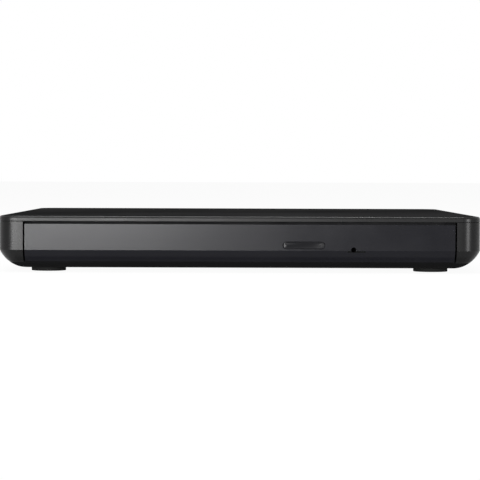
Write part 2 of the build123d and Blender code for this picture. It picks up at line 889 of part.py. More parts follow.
def tray():
    """Moulded tray: plate with the disc well, grooved skirt, deck opening and bosses."""
    body = block(-tray_half, tray_half, tray_front, tray_rear, plate_bottom, tray_top)
    body -= round_bar(0, hub_y, well_floor, tray_top, 2 * well_radius)
    body += block(-skirt_outer, skirt_outer, tray_front, skirt_rear, skirt_bottom, plate_bottom)
    body -= tray_interior(0, skirt_bottom, plate_bottom)
    groove_inner = skirt_outer - skirt_groove
    body -= both_sides(block(
        groove_inner, tray_half, rail_front - rail_end_play, skirt_rear, groove_bottom, groove_top,
    ))
    grow = frame_side_air
    window = traverse_block(
        -frame_near - grow, lens_outer + frame_end, -frame_low_side - grow, frame_high_side + grow,
        plate_bottom, deck_bottom,
    )
    body -= window & tray_interior(0, plate_bottom, deck_bottom)
    body -= deck_outline(deck_play, deck_bottom, well_floor)
    notch_end = lens_outer + lens_diameter / 2 + frame_side_air
    slot = lens_slot / 2
    body -= traverse_block(0, notch_end, -slot, slot, deck_bottom, well_floor + frame_side_air)
    for x, y in deck_screw_places():
        body -= traverse * round_bar(x, y, plate_bottom, deck_bottom, small_screw)
    for x, y in board_boss_places():
        body += round_bar(x, y, tray_board_top, plate_bottom, small_screw_head)
        body -= round_bar(x, y, tray_board_top, tray_board_top + small_screw_reach, small_screw)
    for x, y in shield_screw_places():
        body -= round_bar(x, y, skirt_bottom, shield_screw_top, small_screw)
    half = button_stem / 2
    body -= block(
        button_x - half - frame_air, button_x + half + frame_air, tray_front, switch_front,
        button_z - button_stem_height, button_z + button_stem_height,
    )
    body -= eject_switch_body()
    body -= bar_along_y(release_x, tray_front, skirt_front, release_z, 2 * release_hole)
    for x in front_clip_places():
        body -= front_clip(x, front_clip_play)
    return body


def front_clip_places():
    """Positions across the tray of the clips that hold the tray front."""
    inner = drive_half - clip_inner_inset
    outer = drive_half - clip_outer_inset
    return [-outer, -inner, inner, outer]


def front_clip(x, play):
    """One clip of the tray front, or with some play the slot that takes it."""
    middle = (well_floor + tray_top) / 2
    half_width = front_clip_width / 2 + play
    half_height = front_clip_thickness / 2 + play
    return block(
        x - half_width, x + half_width, tray_front, tray_front + front_clip_reach + play,
        middle - half_height, middle + half_height,
    )


def tray_bezel():
    """Front panel of the tray, hollow behind, flush with the case and following its lower round."""
    panel = case_form(0, front_top)
    panel &= block(-drive_half, drive_half, front_face - wall, tray_front, front_bottom, front_top)
    hollow = case_form(front_skin, front_top - front_skin)
    half = drive_half - front_skin
    hollow &= block(-half, half, front_face, tray_front, front_bottom + front_skin, front_top)
    panel -= hollow
    for x in front_clip_places():
        rib_half = front_clip_width / 2
        rib = block(
            x - rib_half, x + rib_half, front_face + front_skin - sheet, tray_front,
            front_bottom + front_skin, front_top - sheet,
        )
        panel += rib + front_clip(x, 0)
    collar_front = front_face + front_skin - sheet
    panel += bar_along_y(release_x, collar_front, tray_front, release_z, release_collar)
    panel -= bar_along_y(release_x, front_face - wall, tray_front, release_z, release_hole)
    width = button_width + 2 * button_play
    height = button_height + 2 * button_play
    panel -= pill_along_y(button_x, button_z, width, height, front_face - wall, front_face + 2 * front_skin)
    return panel


def eject_button():
    """Slim pill-shaped button with a flange behind the panel and a stem to its switch."""
    flange_front = front_face + front_skin + slide_play
    flange_rear = flange_front + button_flange_thickness
    button = pill_along_y(
        button_x, button_z, button_width, button_height, front_face + button_inset, flange_front,
    )
    button += pill_along_y(
        button_x, button_z, button_width + 2 * button_flange, button_height + 2 * button_flange,
        flange_front, flange_rear,
    )
    half = button_stem / 2
    half_height = button_stem_height / 2
    button += block(
        button_x - half, button_x + half, flange_rear, button_stem_end,
        button_z - half_height, button_z + half_height,
    )
    return button


def eject_switch_body():
    """Housing of the eject switch, set into the front wall of the tray."""
    half = button_stem / 2 + wall / 2
    return block(
        button_x - half, button_x + half, switch_front, skirt_front + wall,
        button_z - button_stem_height, button_z + button_stem_height,
    )


def eject_switch():
    """Small push switch behind the button."""
    plunger = bar_along_y(button_x, plunger_face, switch_front, button_z, button_stem_height)
    return eject_switch_body() + plunger


def deck_plate():
    """Sheet-metal plate in the well floor, open round the turntable and along the lens."""
    plate = deck_outline(0, deck_bottom, well_floor)
    plate -= round_bar(0, hub_y, deck_bottom, well_floor, 2 * deck_hole)
    slot = lens_slot / 2
    plate -= traverse_block(0, lens_outer + frame_end, -slot, slot, deck_bottom, well_floor)
    for x, y in deck_screw_places() + damper_places():
        plate -= traverse * round_bar(x, y, deck_bottom, well_floor, small_screw)
    return plate


def traverse_frame():
    """Cast frame that carries the spindle motor, both rods and the pickup's motor."""
    far = lens_outer + frame_end
    frame = traverse_block(-frame_near, far, -frame_low_side, frame_high_side, frame_bottom, frame_top)
    frame &= tray_interior(frame_side_air, frame_bottom, frame_top)
    side = rod_offset + bearing_block_width / 2 + 2 * sled_air
    opening = traverse_block(window_near, window_far, -side, side, frame_bottom, frame_top)
    body_half = sled_half_width + 2 * sled_air
    sled_far = lens_outer + sled_front + 4 * sled_air
    opening += traverse_block(window_near, sled_far, -body_half, body_half, frame_bottom, frame_top)
    opening += traverse_block(0, window_far, motor_bay_low, motor_bay_high, frame_bottom, frame_top)
    opening &= tray_interior(frame_side_air + frame_rim, frame_bottom, frame_top)
    frame -= opening
    frame -= round_bar(0, hub_y, frame_bottom, frame_top, 2 * motor_hole)
    for y in (-rod_offset, rod_offset):
        frame -= traverse * bar_along_x(rod_near, rod_far, y, rod_z, rod_diameter)
    for x, y in damper_places():
        frame -= traverse * round_bar(x, y, frame_bottom, frame_top, damper_diameter)
    seat_low = screw_offset - lead_screw_diameter
    seat_high = screw_offset + lead_screw_diameter
    frame -= traverse_block(
        window_far - bracket_length, window_far, seat_low, seat_high, frame_bottom, frame_top,
    )
    return frame


def guide_rod(y):
    """Polished rod along which the pickup slides."""
    return traverse * bar_along_x(rod_near, rod_far, y, rod_z, rod_diameter)


def traverse_dampers():
    """Four rubber grommets between the frame and what it hangs from."""
    dampers = Part()
    for x, y in damper_places():
        low = frame_bottom - damper_flange_height
        grommet = round_bar(x, y, low, frame_bottom, damper_flange)
        grommet += round_bar(x, y, frame_bottom, frame_top, damper_diameter)
        grommet += round_bar(x, y, frame_top, deck_bottom, damper_flange)
        grommet -= round_bar(x, y, low, deck_bottom, small_screw)
        dampers += traverse * grommet
    return dampers


def traverse_screws():
    """Screws through the dampers from below, and the three screws of the deck plate."""
    screws = Part()
    low = frame_bottom - damper_flange_height
    for x, y in damper_places():
        screw = round_bar(x, y, low - small_screw_head_height, low, small_screw_head)
        screw += round_bar(x, y, low, deck_bottom + 0.8 * deck_sheet, small_screw)
        screws += traverse * screw
    for x, y in deck_screw_places():
        screw = round_bar(x, y, well_floor, well_floor + small_screw_head_height, small_screw_head)
        screw += round_bar(x, y, plate_bottom, well_floor, small_screw)
        screws += traverse * screw
    return screws


def spindle_base():
    """Steel base of the spindle motor with its bearing tube."""
    low = frame_bottom - base_sheet
    base = round_bar(0, hub_y, low, frame_bottom, 2 * motor_hole + 2 * frame_rim)
    bearing = shaft_diameter + 2 * bearing_wall
    bearing_top = rotor_top - rotor_wall - slide_gap
    base += round_bar(0, hub_y, frame_bottom, bearing_top, bearing)
    base -= round_bar(0, hub_y, frame_bottom, bearing_top, shaft_diameter + 2 * bearing_play)
    return base


def spindle_stator():
    """Laminated stator with one pole for each coil."""
    low = frame_bottom + slide_gap
    high = low + stator_height
    inner = shaft_diameter + 2 * bearing_wall
    outer = rotor_diameter / 2 - rotor_wall - stator_play
    core = round_bar(0, 0, low, high, 2 * inner)
    shoes = round_bar(0, 0, low, high, 2 * outer) - round_bar(0, 0, low, high, 2 * outer - 2 * rotor_wall)
    shoe_half = outer * math.sin(math.radians(130 / stator_poles))
    gaps = Part()
    for number in range(stator_poles):
        turn = Rot(0, 0, number * 360 / stator_poles)
        core += turn * block(0, outer - rotor_wall / 2, -rotor_wall, rotor_wall, low, high)
        gaps += turn * block(outer / 2, outer, -shoe_half, shoe_half, low, high)
    core += shoes & gaps
    core -= round_bar(0, 0, low, high, inner)
    core += round_bar(0, 0, frame_bottom, low, inner + 2 * wall) - round_bar(0, 0, frame_bottom, low, inner)
    return Pos(0, hub_y, 0) * core


def spindle_rotor():
    """Steel cup that turns round the stator."""
    cup = round_bar(0, hub_y, rotor_bottom, rotor_top, rotor_diameter)
    cup -= round_bar(0, hub_y, rotor_bottom, rotor_top - rotor_wall, rotor_diameter - 2 * rotor_wall)
    cup -= round_bar(0, hub_y, rotor_bottom, rotor_top, shaft_diameter)
    return cup


def spindle_shaft():
    """Shaft from the bearing up into the hub."""
    return round_bar(0, hub_y, frame_bottom + slide_play, hub_top, shaft_diameter)


def turntable():
    """Turntable with the hub that centres the disc, slotted for its claws."""
    table = round_bar(0, hub_y, rotor_top, table_bottom, turntable_neck)
    table += round_bar(0, hub_y, table_bottom, table_top, turntable_diameter)
    table += round_bar(0, hub_y, table_top, hub_top, 2 * hub_radius)
    dome = Cone(hub_radius, hub_radius - 2 * hub_dome, hub_dome)
    table += Pos(0, hub_y, hub_top + hub_dome / 2) * dome
    table -= round_bar(0, hub_y, rotor_top, hub_top, shaft_diameter)
    for number in range(claw_count):
        side = claw_width / 2 + claw_play
        slot = block(
            claw_inner - claw_travel - claw_play, claw_outer, -side, side,
            claw_bottom - claw_play, claw_top + claw_play,
        )
        table -= Pos(0, hub_y, 0) * Rot(0, 0, claw_angle(number)) * slot
    return table


def claw_angle(number):
    """Direction in which a claw stands out, in degrees from +X."""
    return 90 + number * 360 / claw_count


def hub_claw(number):
    """Sprung claw in the hub that holds the inner edge of the disc down."""
    claw = block(claw_inner, claw_outer, -claw_width / 2, claw_width / 2, claw_bottom, claw_top)
    nose = claw.edges().filter_by(Axis.Y).group_by(Axis.X)[-1]
    claw = chamfer(nose, claw_height / 3)
    return Pos(0, hub_y, 0) * Rot(0, 0, claw_angle(number)) * claw


def friction_ring():
    """Rubber ring on the turntable that grips the disc."""
    outer = turntable_diameter - 2 * friction_pad
    ring = round_bar(0, hub_y, table_top, disc_bottom, outer)
    return ring - round_bar(0, hub_y, table_top, disc_bottom, friction_inner)


def pickup_sled():
    """Pickup housing with its two rod bearings and the tab that follows the lead screw."""
    near = lens_inner - sled_back
    far = lens_inner + sled_front
    sled = block(near, far, -sled_half_width, sled_half_width, sled_bottom, sled_top)
    sled -= round_bar(0, 0, sled_bottom, sled_top, 2 * motor_hole + 2 * sled_air)
    back = lens_inner - block_back
    outer = rod_offset + bearing_block_width / 2
    sled += block(back, back + bearing_block_length, sled_half_width - wall, outer, sled_bottom, sled_top)
    middle = back + bearing_block_length / 2
    end = back + bearing_block_length
    sled += block(middle, end, -outer, -sled_half_width + wall, sled_bottom, sled_top)
    tab_end = screw_offset - lead_screw_diameter / 2 - lead_screw_play
    tab = back + follower_inset
    sled += block(tab, tab + follower_width, outer, tab_end, rod_z - sled_air * 3, rod_z + sled_air * 3)
    for y in (-rod_offset, rod_offset):
        sled -= bar_along_x(near - block_back, far + block_back, y, rod_z, rod_diameter + 2 * rod_play)
    half_length = carrier_length / 2 + carrier_play
    half_width = carrier_width / 2 + carrier_play
    sled -= block(
        lens_inner - half_length, lens_inner + half_length, -half_width, half_width,
        carrier_bottom - carrier_play, sled_top,
    )
    return traverse * sled


def lens_carrier():
    """Floating holder of the lens, which moves up and down to keep focus."""
    half_length = carrier_length / 2
    half_width = carrier_width / 2
    ends = (lens_inner - half_length, lens_inner + half_length)
    carrier = block(*ends, -half_width, half_width, carrier_bottom, carrier_top)
    carrier -= round_bar(lens_inner, 0, carrier_bottom, carrier_top, lens_diameter - 2 * sled_air)
    return traverse * carrier


def pickup_lens():
    """Domed objective lens on its holder."""
    lens = round_bar(lens_inner, 0, carrier_top, carrier_top + lens_height, lens_diameter)
    return traverse * fillet(lens.edges().sort_by(Axis.Z)[-1], lens_height * 0.7)


def sled_motor():
    """Flat-sided motor that turns the lead screw, with a flange that fits its bay in the frame."""
    far = sled_motor_near + sled_motor_length
    motor = bar_along_x(sled_motor_near, far, screw_offset, rod_z, sled_motor_diameter)
    bay = (motor_bay_low, motor_bay_high)
    motor &= block(sled_motor_near, far, *bay, frame_bottom - sled_air, deck_bottom - frame_air)
    motor += block(far - sheet, far, *bay, frame_bottom, frame_top)
    hole = lead_screw_diameter / 2 + 2 * lead_screw_play
    motor -= bar_along_x(far - lead_screw_journal - sheet, far, screw_offset, rod_z, hole)
    return traverse * motor


def lead_screw_bracket():
    """Bearing block at the far end of the lead screw."""
    low = screw_offset - lead_screw_diameter
    high = screw_offset + lead_screw_diameter
    near = window_far - bracket_length
    bracket = block(near, window_far, low, high, frame_bottom, frame_top)
    hole = lead_screw_diameter / 2 + 2 * lead_screw_play
    bracket -= bar_along_x(near, window_far, screw_offset, rod_z, hole)
    return traverse * bracket


def lead_screw():
    """Lead screw with its two journals, one in the motor and one in the bracket."""
    near = sled_motor_near + sled_motor_length
    far = window_far - bracket_length
    screw = bar_along_x(near + frame_air, far - frame_air, screw_offset, rod_z, lead_screw_diameter)
    journals = (near - lead_screw_journal, window_far - slide_play)
    screw += bar_along_x(*journals, screw_offset, rod_z, lead_screw_diameter / 2)
    return traverse * screw


def tray_board():
    """L-shaped printed board along the rear and the right side of the tray."""
    board = block(
        -tray_board_half, tray_board_half, tray_board_front, tray_board_rear,
        tray_board_bottom, tray_board_top,
    )
    board += block(arm_left, tray_board_half, arm_front, tray_board_front, tray_board_bottom, tray_board_top)
    for x, y in board_boss_places():
        board -= round_bar(x, y, tray_board_bottom, tray_board_top, small_screw)
    return board


def tray_board_chips():
    """The larger chips on top of the tray board."""
    middle_y = (tray_board_front + tray_board_rear) / 2
    middle_x = (arm_left + tray_board_half) / 2
    high = tray_board_top + chip_height
    places = [
        (0, middle_y, controller_chip, controller_chip),
        (-memory_offset, middle_y, driver_chip, memory_chip),
        (middle_x, hub_y, driver_chip, driver_length),
        (middle_x, hub_y + converter_offset, memory_chip, memory_chip),
    ]
    chips = Part()
    for x, y, wide, deep in places:
        chips += block(x - wide / 2, x + wide / 2, y - deep / 2, y + deep / 2, tray_board_top, high)
    return chips


def tray_flex_connector():
    """Connector under the tray board that clamps the moving end of the flat cable."""
    half = flex_width / 2 + flex_connector_margin
    front = tray_connector_front()
    low = pan_top + flex_lift + flex_rise
    body = block(
        -half, half, front, front + flex_connector_length, low - 2 * slide_play, tray_board_bottom,
    )
    body -= block(
        -flex_width / 2, flex_width / 2, front, front + flex_connector_length / 2,
        low, low + flex_thickness,
    )
    return body


def bottom_shield():
    """Thin metal shield under the tray, open at the cable connector and at the latch."""
    front = tray_front + slide_gap
    shield = block(-skirt_outer, skirt_outer, front, skirt_rear, shield_bottom, skirt_bottom)
    half = flex_width / 2 + flex_connector_margin + frame_air
    front = tray_connector_front()
    shield -= block(
        -half, half, front - frame_air, front + flex_connector_length + frame_air,
        shield_bottom, skirt_bottom,
    )
    shield -= round_bar(latch_pivot_x, latch_pivot_y, shield_bottom, skirt_bottom, latch_hub + 2 * slide_gap)
    for x, y in shield_screw_places():
        shield -= round_bar(x, y, shield_bottom, skirt_bottom, small_screw)
    return shield


def tray_screws():
    """Screws of the shield and of the tray board, driven from below."""
    screws = Part()
    for x, y in shield_screw_places():
        screws += round_bar(x, y, shield_bottom - small_screw_head_height, shield_bottom, small_screw_head)
        screws += round_bar(x, y, shield_bottom, shield_screw_top, small_screw)
    for x, y in board_boss_places():
        low = tray_board_bottom - small_screw_head_height
        screws += round_bar(x, y, low, tray_board_bottom, small_screw_head)
        screws += round_bar(x, y, tray_board_bottom, tray_board_top + small_screw_reach, small_screw)
    return screws


def latch_bracket():
    """Sheet bracket under the tray plate with the pivot pin of the latch hook."""
    bracket = block(
        solenoid_left(), latch_pivot_x + latch_hub, latch_pivot_y - latch_hub / 2,
        solenoid_y() + solenoid_diameter, bracket_bottom, plate_bottom,
    )
    bracket += round_bar(latch_pivot_x, latch_pivot_y, hook_bottom, bracket_bottom, latch_pin_diameter)
    return bracket


def solenoid_left():
    """Left end of the latch solenoid."""
    return release_x - solenoid_length / 2


def solenoid_y():
    """Middle of the latch solenoid, behind the sweep of the lever."""
    return latch_pivot_y + latch_reach + latch_arm + wall


def latch_solenoid():
    """Solenoid that lets the latch go when the button is pressed."""
    coil_z = bracket_bottom - solenoid_diameter / 2
    left = solenoid_left()
    coil = bar_along_x(left, left + solenoid_length, solenoid_y(), coil_z, solenoid_diameter)
    for x in (left, left + solenoid_length - sheet):
        coil += block(
            x, x + sheet, solenoid_y() - solenoid_diameter / 2, solenoid_y() + solenoid_diameter / 2,
            bracket_bottom - solenoid_diameter, bracket_bottom,
        )
    return coil


def latch_hook():
    """Latch lever: an upper arm behind the release hole and a lower arm whose lip holds the stub."""
    hook = round_bar(latch_pivot_x, latch_pivot_y, hook_bottom, lever_top, latch_hub)
    half = latch_arm / 2
    lever_end = release_x - release_hole
    arm = (latch_pivot_y - half, latch_pivot_y + half)
    hook += block(lever_end, latch_pivot_x, *arm, lever_bottom, lever_top)
    lip_front = latch_pivot_y + latch_reach
    lip_rear = lip_front + latch_arm
    hook += block(latch_pivot_x - half, latch_pivot_x + half, latch_pivot_y, lip_rear, hook_bottom, hook_top)
    lip_end = latch_pivot_x - half - latch_lip
    hook += block(lip_end, latch_pivot_x, lip_front, lip_rear, hook_bottom, hook_top)
    bore = latch_pin_diameter + 2 * latch_play
    hook -= round_bar(latch_pivot_x, latch_pivot_y, hook_bottom, lever_top, bore)
    return hook


def latch_spring():
    """Return spring of the latch, wound round the pivot pin above the lever, as a plain sleeve."""
    low = lever_top + slide_play
    sleeve = round_bar(latch_pivot_x, latch_pivot_y, low, bracket_bottom, latch_hub)
    return sleeve - round_bar(latch_pivot_x, latch_pivot_y, low, bracket_bottom, latch_hub - 2 * spring_wire)


def all_nodes():
    """Every piece of the drive by the name of its node."""
    nodes = {
        "bottom_case": bottom_case(),
        "top_cover": top_cover(),
        "rubber_feet": rubber_feet(),
        "case_screws": case_screws(),
        "bridge_board": bridge_board(),
        "bridge_board_chips": bridge_board_chips(),
        "board_screws": board_screws(),
        "usb_socket": usb_socket(),
        "usb_tongue": usb_tongue(),
        "link_plug": link_plug(),
        "link_socket": link_socket(),
        "chassis_pan": chassis_pan(),
        "chassis_cover": chassis_cover(),
        "rail_guide_right": rail_guide(),
        "rail_guide_left": mirror(rail_guide(), Plane.YZ),
        "slide_rail_right": slide_rail(),
        "slide_rail_left": mirror(slide_rail(), Plane.YZ),
        "rear_board": rear_board(),
        "rear_flex_connector": rear_flex_connector(),
        "latch_post": latch_post(),
        "ejector_housing": ejector_housing(),
        "ejector_plunger": ejector_plunger(),
        "ejector_spring": ejector_spring(),
        "flex_cable": flex_cable(),
        "tray": tray(),
        "tray_bezel": tray_bezel(),
        "eject_button": eject_button(),
        "eject_switch": eject_switch(),
        "deck_plate": deck_plate(),
        "traverse_frame": traverse_frame(),
        "guide_rod_main": guide_rod(rod_offset),
        "guide_rod_sub": guide_rod(-rod_offset),
        "traverse_dampers": traverse_dampers(),
        "traverse_screws": traverse_screws(),
        "spindle_base": spindle_base(),
        "spindle_stator": spindle_stator(),
        "spindle_rotor": spindle_rotor(),
        "spindle_shaft": spindle_shaft(),
        "turntable": turntable(),
        "friction_ring": friction_ring(),
        "pickup_sled": pickup_sled(),
        "lens_carrier": lens_carrier(),
        "pickup_lens": pickup_lens(),
        "sled_motor": sled_motor(),
        "lead_screw_bracket": lead_screw_bracket(),
        "lead_screw": lead_screw(),
        "tray_board": tray_board(),
        "tray_board_chips": tray_board_chips(),
        "tray_flex_connector": tray_flex_connector(),
        "bottom_shield": bottom_shield(),
        "tray_screws": tray_screws(),
        "latch_bracket": latch_bracket(),
        "latch_solenoid": latch_solenoid(),
        "latch_hook": latch_hook(),
        "latch_spring": latch_spring(),
    }
    for number in range(claw_count):
        nodes[f"hub_claw_{number + 1}"] = hub_claw(number)
    return nodes


os.makedirs("parts", exist_ok=True)
for name, shape in all_nodes().items():
    shape.label = name
    export_step(shape, f"parts/{name}.step")
print(f"case {2 * case_half:.1f} x {case_depth:.1f} x {lid_top:.2f} mm, tray travel {tray_travel():.1f} mm")
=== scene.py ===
# %% [markdown]
# # A slim disc drive, dressed for its portrait
# The object is an external drive for discs: a flat black plastic case with a tray that slides
# out at the front. The solids of its 58 parts are already made to size and arrive as a fixed
# frame. This lesson gives every part its finish, and replaces the shells that the eye meets
# first with finer surfaces that have rounded edges. All lengths are in metres.

# %% Load the frame
import json
import math

import bmesh
import bpy
import numpy as np
from mathutils import Matrix, Vector

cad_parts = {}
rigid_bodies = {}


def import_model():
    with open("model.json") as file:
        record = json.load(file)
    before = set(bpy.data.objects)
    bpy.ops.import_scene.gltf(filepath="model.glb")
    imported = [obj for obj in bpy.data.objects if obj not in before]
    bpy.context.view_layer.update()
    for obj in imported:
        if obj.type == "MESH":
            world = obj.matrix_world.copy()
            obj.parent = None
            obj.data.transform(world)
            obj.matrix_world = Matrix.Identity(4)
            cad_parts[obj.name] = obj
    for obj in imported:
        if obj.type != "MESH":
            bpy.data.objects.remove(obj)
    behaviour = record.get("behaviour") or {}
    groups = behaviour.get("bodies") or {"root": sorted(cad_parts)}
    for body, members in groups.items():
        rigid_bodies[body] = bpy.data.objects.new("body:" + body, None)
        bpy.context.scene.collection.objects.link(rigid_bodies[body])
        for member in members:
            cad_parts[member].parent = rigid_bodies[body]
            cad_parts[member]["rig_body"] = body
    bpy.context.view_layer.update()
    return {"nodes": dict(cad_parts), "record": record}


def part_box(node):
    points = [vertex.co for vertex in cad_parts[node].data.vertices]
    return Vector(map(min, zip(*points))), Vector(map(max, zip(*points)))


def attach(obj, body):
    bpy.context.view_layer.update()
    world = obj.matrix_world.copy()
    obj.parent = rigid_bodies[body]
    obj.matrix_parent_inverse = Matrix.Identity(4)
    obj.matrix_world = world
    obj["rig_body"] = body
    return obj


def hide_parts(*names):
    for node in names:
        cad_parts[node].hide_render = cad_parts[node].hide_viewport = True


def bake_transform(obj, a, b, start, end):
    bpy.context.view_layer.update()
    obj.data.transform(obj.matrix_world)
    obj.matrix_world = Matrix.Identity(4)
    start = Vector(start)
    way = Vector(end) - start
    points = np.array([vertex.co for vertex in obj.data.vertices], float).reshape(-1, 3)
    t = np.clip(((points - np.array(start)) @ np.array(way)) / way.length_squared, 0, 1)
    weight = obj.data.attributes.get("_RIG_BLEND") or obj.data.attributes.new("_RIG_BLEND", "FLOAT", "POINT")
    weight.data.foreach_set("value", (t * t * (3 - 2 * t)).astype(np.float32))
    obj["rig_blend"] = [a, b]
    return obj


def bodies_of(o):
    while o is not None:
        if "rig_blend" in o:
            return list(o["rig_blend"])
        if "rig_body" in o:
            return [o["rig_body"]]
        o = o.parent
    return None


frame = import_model()
mm = 0.001

# %% [markdown]
# ## Sizes of the case
# The case is a rounded rectangle in plan. Its lower edge is a long round that leaves the flat
# bottom smoothly and meets the upright wall at a crease. The overall sizes and the levels are
# read from the frame, so that the surfaces always lie where the solids are. The rest are the
# few sizes that no box can tell.

# %% Sizes of the case
case_low, case_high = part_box("bottom_case")
front_low, front_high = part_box("tray_bezel")
half_x = case_high.x
half_y = case_high.y
bottom_z = case_low.z
rim_z = case_high.z
lid_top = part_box("top_cover")[1].z
wall = 1.4 * mm
corner_radius = 6.0 * mm
crease_rise = 5.5 * mm
crease_lean = math.radians(24.6)
edge_radius = crease_rise / (1 - math.sin(crease_lean))
edge_inset = edge_radius * math.cos(crease_lean)
crease_z = bottom_z + crease_rise
seam = 0.1 * mm
tray_gap = 0.5 * mm
lip_gap = 0.3 * mm
opening_half = front_high.x + tray_gap
lip_top = front_low.z - lip_gap
print("crease at", round(crease_z / mm, 2), "mm, opening", round(2 * opening_half / mm, 1), "mm wide")

# %% [markdown]
# ## Meshes from arrays
# Each new surface is a grid of points: its rows follow a profile and its columns follow a path.
# The faces of such a grid follow one rule, so a function works them out for every piece, from
# an array of point numbers. Edges sharper than a given angle stay crisp, and a Bevel modifier can
# then break them by a tenth of a millimetre, as a mould does. The bevel would bend the shading
# of the large faces beside it, so a second modifier takes the normals from those faces.

# %% Mesh helpers
def grid_faces(rows, columns, around=False):
    """Faces of a grid: each joins a point, its right neighbour and the two points above them."""
    index = np.arange(rows * columns).reshape(rows, columns)
    if around:
        index = np.hstack([index, index[:, :1]])
    return np.stack([index[:-1, :-1], index[:-1, 1:], index[1:, 1:], index[1:, :-1]], axis=-1)


def tube_faces(rows, columns):
    """Faces of a grid that closes on itself, with one more over its first ring and its last."""
    first = list(range(columns))
    last = [rows * columns - columns + corner for corner in first]
    return grid_faces(rows, columns, around=True).reshape(-1, 4).tolist() + [first[::-1], last]


def merge_doubles(mesh, distance=1e-6):
    """Joins points of a mesh that lie in one place, and drops the faces that this closes up."""
    work = bmesh.new()
    work.from_mesh(mesh)
    bmesh.ops.remove_doubles(work, verts=work.verts, dist=distance)
    bmesh.ops.dissolve_degenerate(work, edges=work.edges, dist=distance)
    work.to_mesh(mesh)
    work.free()


def add_object(name, data):
    """New object of the scene that holds this data."""
    made = bpy.data.objects.new(name, data)
    bpy.context.scene.collection.objects.link(made)
    return made


def add_piece(name, points, faces, body, finish, crisp=30, nodes=()):
    """Object of these points and faces, with its body, its finish and the CAD nodes it stands for."""
    mesh = bpy.data.meshes.new(name)
    mesh.from_pydata(np.asarray(points).reshape(-1, 3).tolist(), [], [list(face) for face in faces])
    merge_doubles(mesh)
    mesh.materials.append(finish)
    mesh.shade_smooth()
    mesh.set_sharp_from_angle(angle=math.radians(crisp))
    piece = add_object(name, mesh)
    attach(piece, body)
    if nodes:
        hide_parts(*nodes)
    print(name, len(mesh.polygons), "faces")
    return piece


def give_wall(piece, thickness):
    """Inward wall of even thickness behind an open surface."""
    solid = piece.modifiers.new("wall", "SOLIDIFY")
    solid.thickness = thickness
    solid.offset = -1
    solid.use_even_offset = True


def soften(piece, width, angle=25, segments=2):
    """Small round on every edge sharper than the angle, as a mould leaves it."""
    bevel = piece.modifiers.new("soft edges", "BEVEL")
    bevel.width = width
    bevel.segments = segments
    bevel.limit_method = "ANGLE"
    bevel.angle_limit = math.radians(angle)
    piece.modifiers.new("normals from large faces", "WEIGHTED_NORMAL")


def box_mesh(boxes):
    """Points and faces of several upright boxes, each from a row of low x, y, z, high x, y, z."""
    boxes = np.asarray(boxes, float).reshape(-1, 2, 3)
    choice = np.array([[(n >> axis) & 1 for axis in range(3)] for n in range(8)])
    points = np.stack([boxes[:, choice[:, axis], axis] for axis in range(3)], axis=-1)
    sides = np.array([[0, 2, 3, 1], [4, 5, 7, 6], [0, 1, 5, 4], [2, 6, 7, 3], [0, 4, 6, 2], [1, 3, 7, 5]])
    faces = sides[None] + 8 * np.arange(len(boxes))[:, None, None]
    return points.reshape(-1, 3), faces.reshape(-1, 4)

# %% [markdown]
# ## Patterns that finishes share
# A moulded, drawn or cast surface differs from place to place in three ways: its tone, its
# gloss and its height. Each pattern below is a node group that is built once. All of them take
# a place and the scale of their detail, and put out those three values between 0 and 1, so a
# finish can use any of them in the same way. They read the object's own coordinates in metres,
# which keeps the detail at its real size and fixed to the piece.

# %% Node helpers
def node(tree, kind, settings=None, inputs=None):
    """Adds a node with its options, and sets or links its inputs, given by name or number."""
    made = tree.nodes.new("ShaderNode" + kind)
    for option, value in (settings or {}).items():
        setattr(made, option, value)
    for key, value in (inputs or {}).items():
        socket = made.inputs[key]
        if isinstance(value, bpy.types.NodeSocket):
            tree.links.new(value, socket)
        else:
            socket.default_value = value
    return made


def noise(tree, vector, scale, detail=2.0, roughness=0.5):
    """Noise texture whose scale is a number or a socket."""
    inputs = {"Vector": vector, "Scale": scale, "Detail": detail, "Roughness": roughness}
    return node(tree, "TexNoise", None, inputs).outputs[0]


def spread(tree, value, low, high, to_low=0.0, to_high=1.0):
    """Stretches the span from low to high over the span from to_low to to_high, and clamps it."""
    names = ("Value", "From Min", "From Max", "To Min", "To Max")
    return node(tree, "MapRange", None, dict(zip(names, (value, low, high, to_low, to_high)))).outputs[0]


def maths(tree, operation, first, second=0.0):
    """One operation on two values."""
    return node(tree, "Math", {"operation": operation}, {0: first, 1: second}).outputs[0]


def times(tree, first, second):
    """Product of two values."""
    return maths(tree, "MULTIPLY", first, second)


def weighted(tree, first, second, share):
    """Sum of two values: the share of the first and the rest of the second."""
    return maths(tree, "ADD", times(tree, first, share), times(tree, second, 1 - share))


def start_group(name, number="Scale", results=("Tone", "Gloss", "Height")):
    """Empty group with a place and a number going in; returns its tree, input and output."""
    tree = bpy.data.node_groups.new(name, "ShaderNodeTree")
    tree.interface.new_socket("Vector", in_out="INPUT", socket_type="NodeSocketVector")
    tree.interface.new_socket(number, in_out="INPUT", socket_type="NodeSocketFloat")
    for result in results:
        tree.interface.new_socket(result, in_out="OUTPUT", socket_type="NodeSocketFloat")
    return tree, tree.nodes.new("NodeGroupInput").outputs, tree.nodes.new("NodeGroupOutput")


def end_group(tree, out, *values):
    """Links the results of a group to its outputs, in their order."""
    for socket, value in zip(out.inputs, values):
        tree.links.new(value, socket)
    return tree

# %% [markdown]
# ## Moulded, drawn and cast patterns
# A moulded texture is a fine grain over broad, faint changes of gloss where hands have been.
# Drawn sheet has long streaks in the direction of rolling, which come from noise that is
# stretched a great deal along one axis. A die casting has a pebbled skin, from cells with
# noise on top.

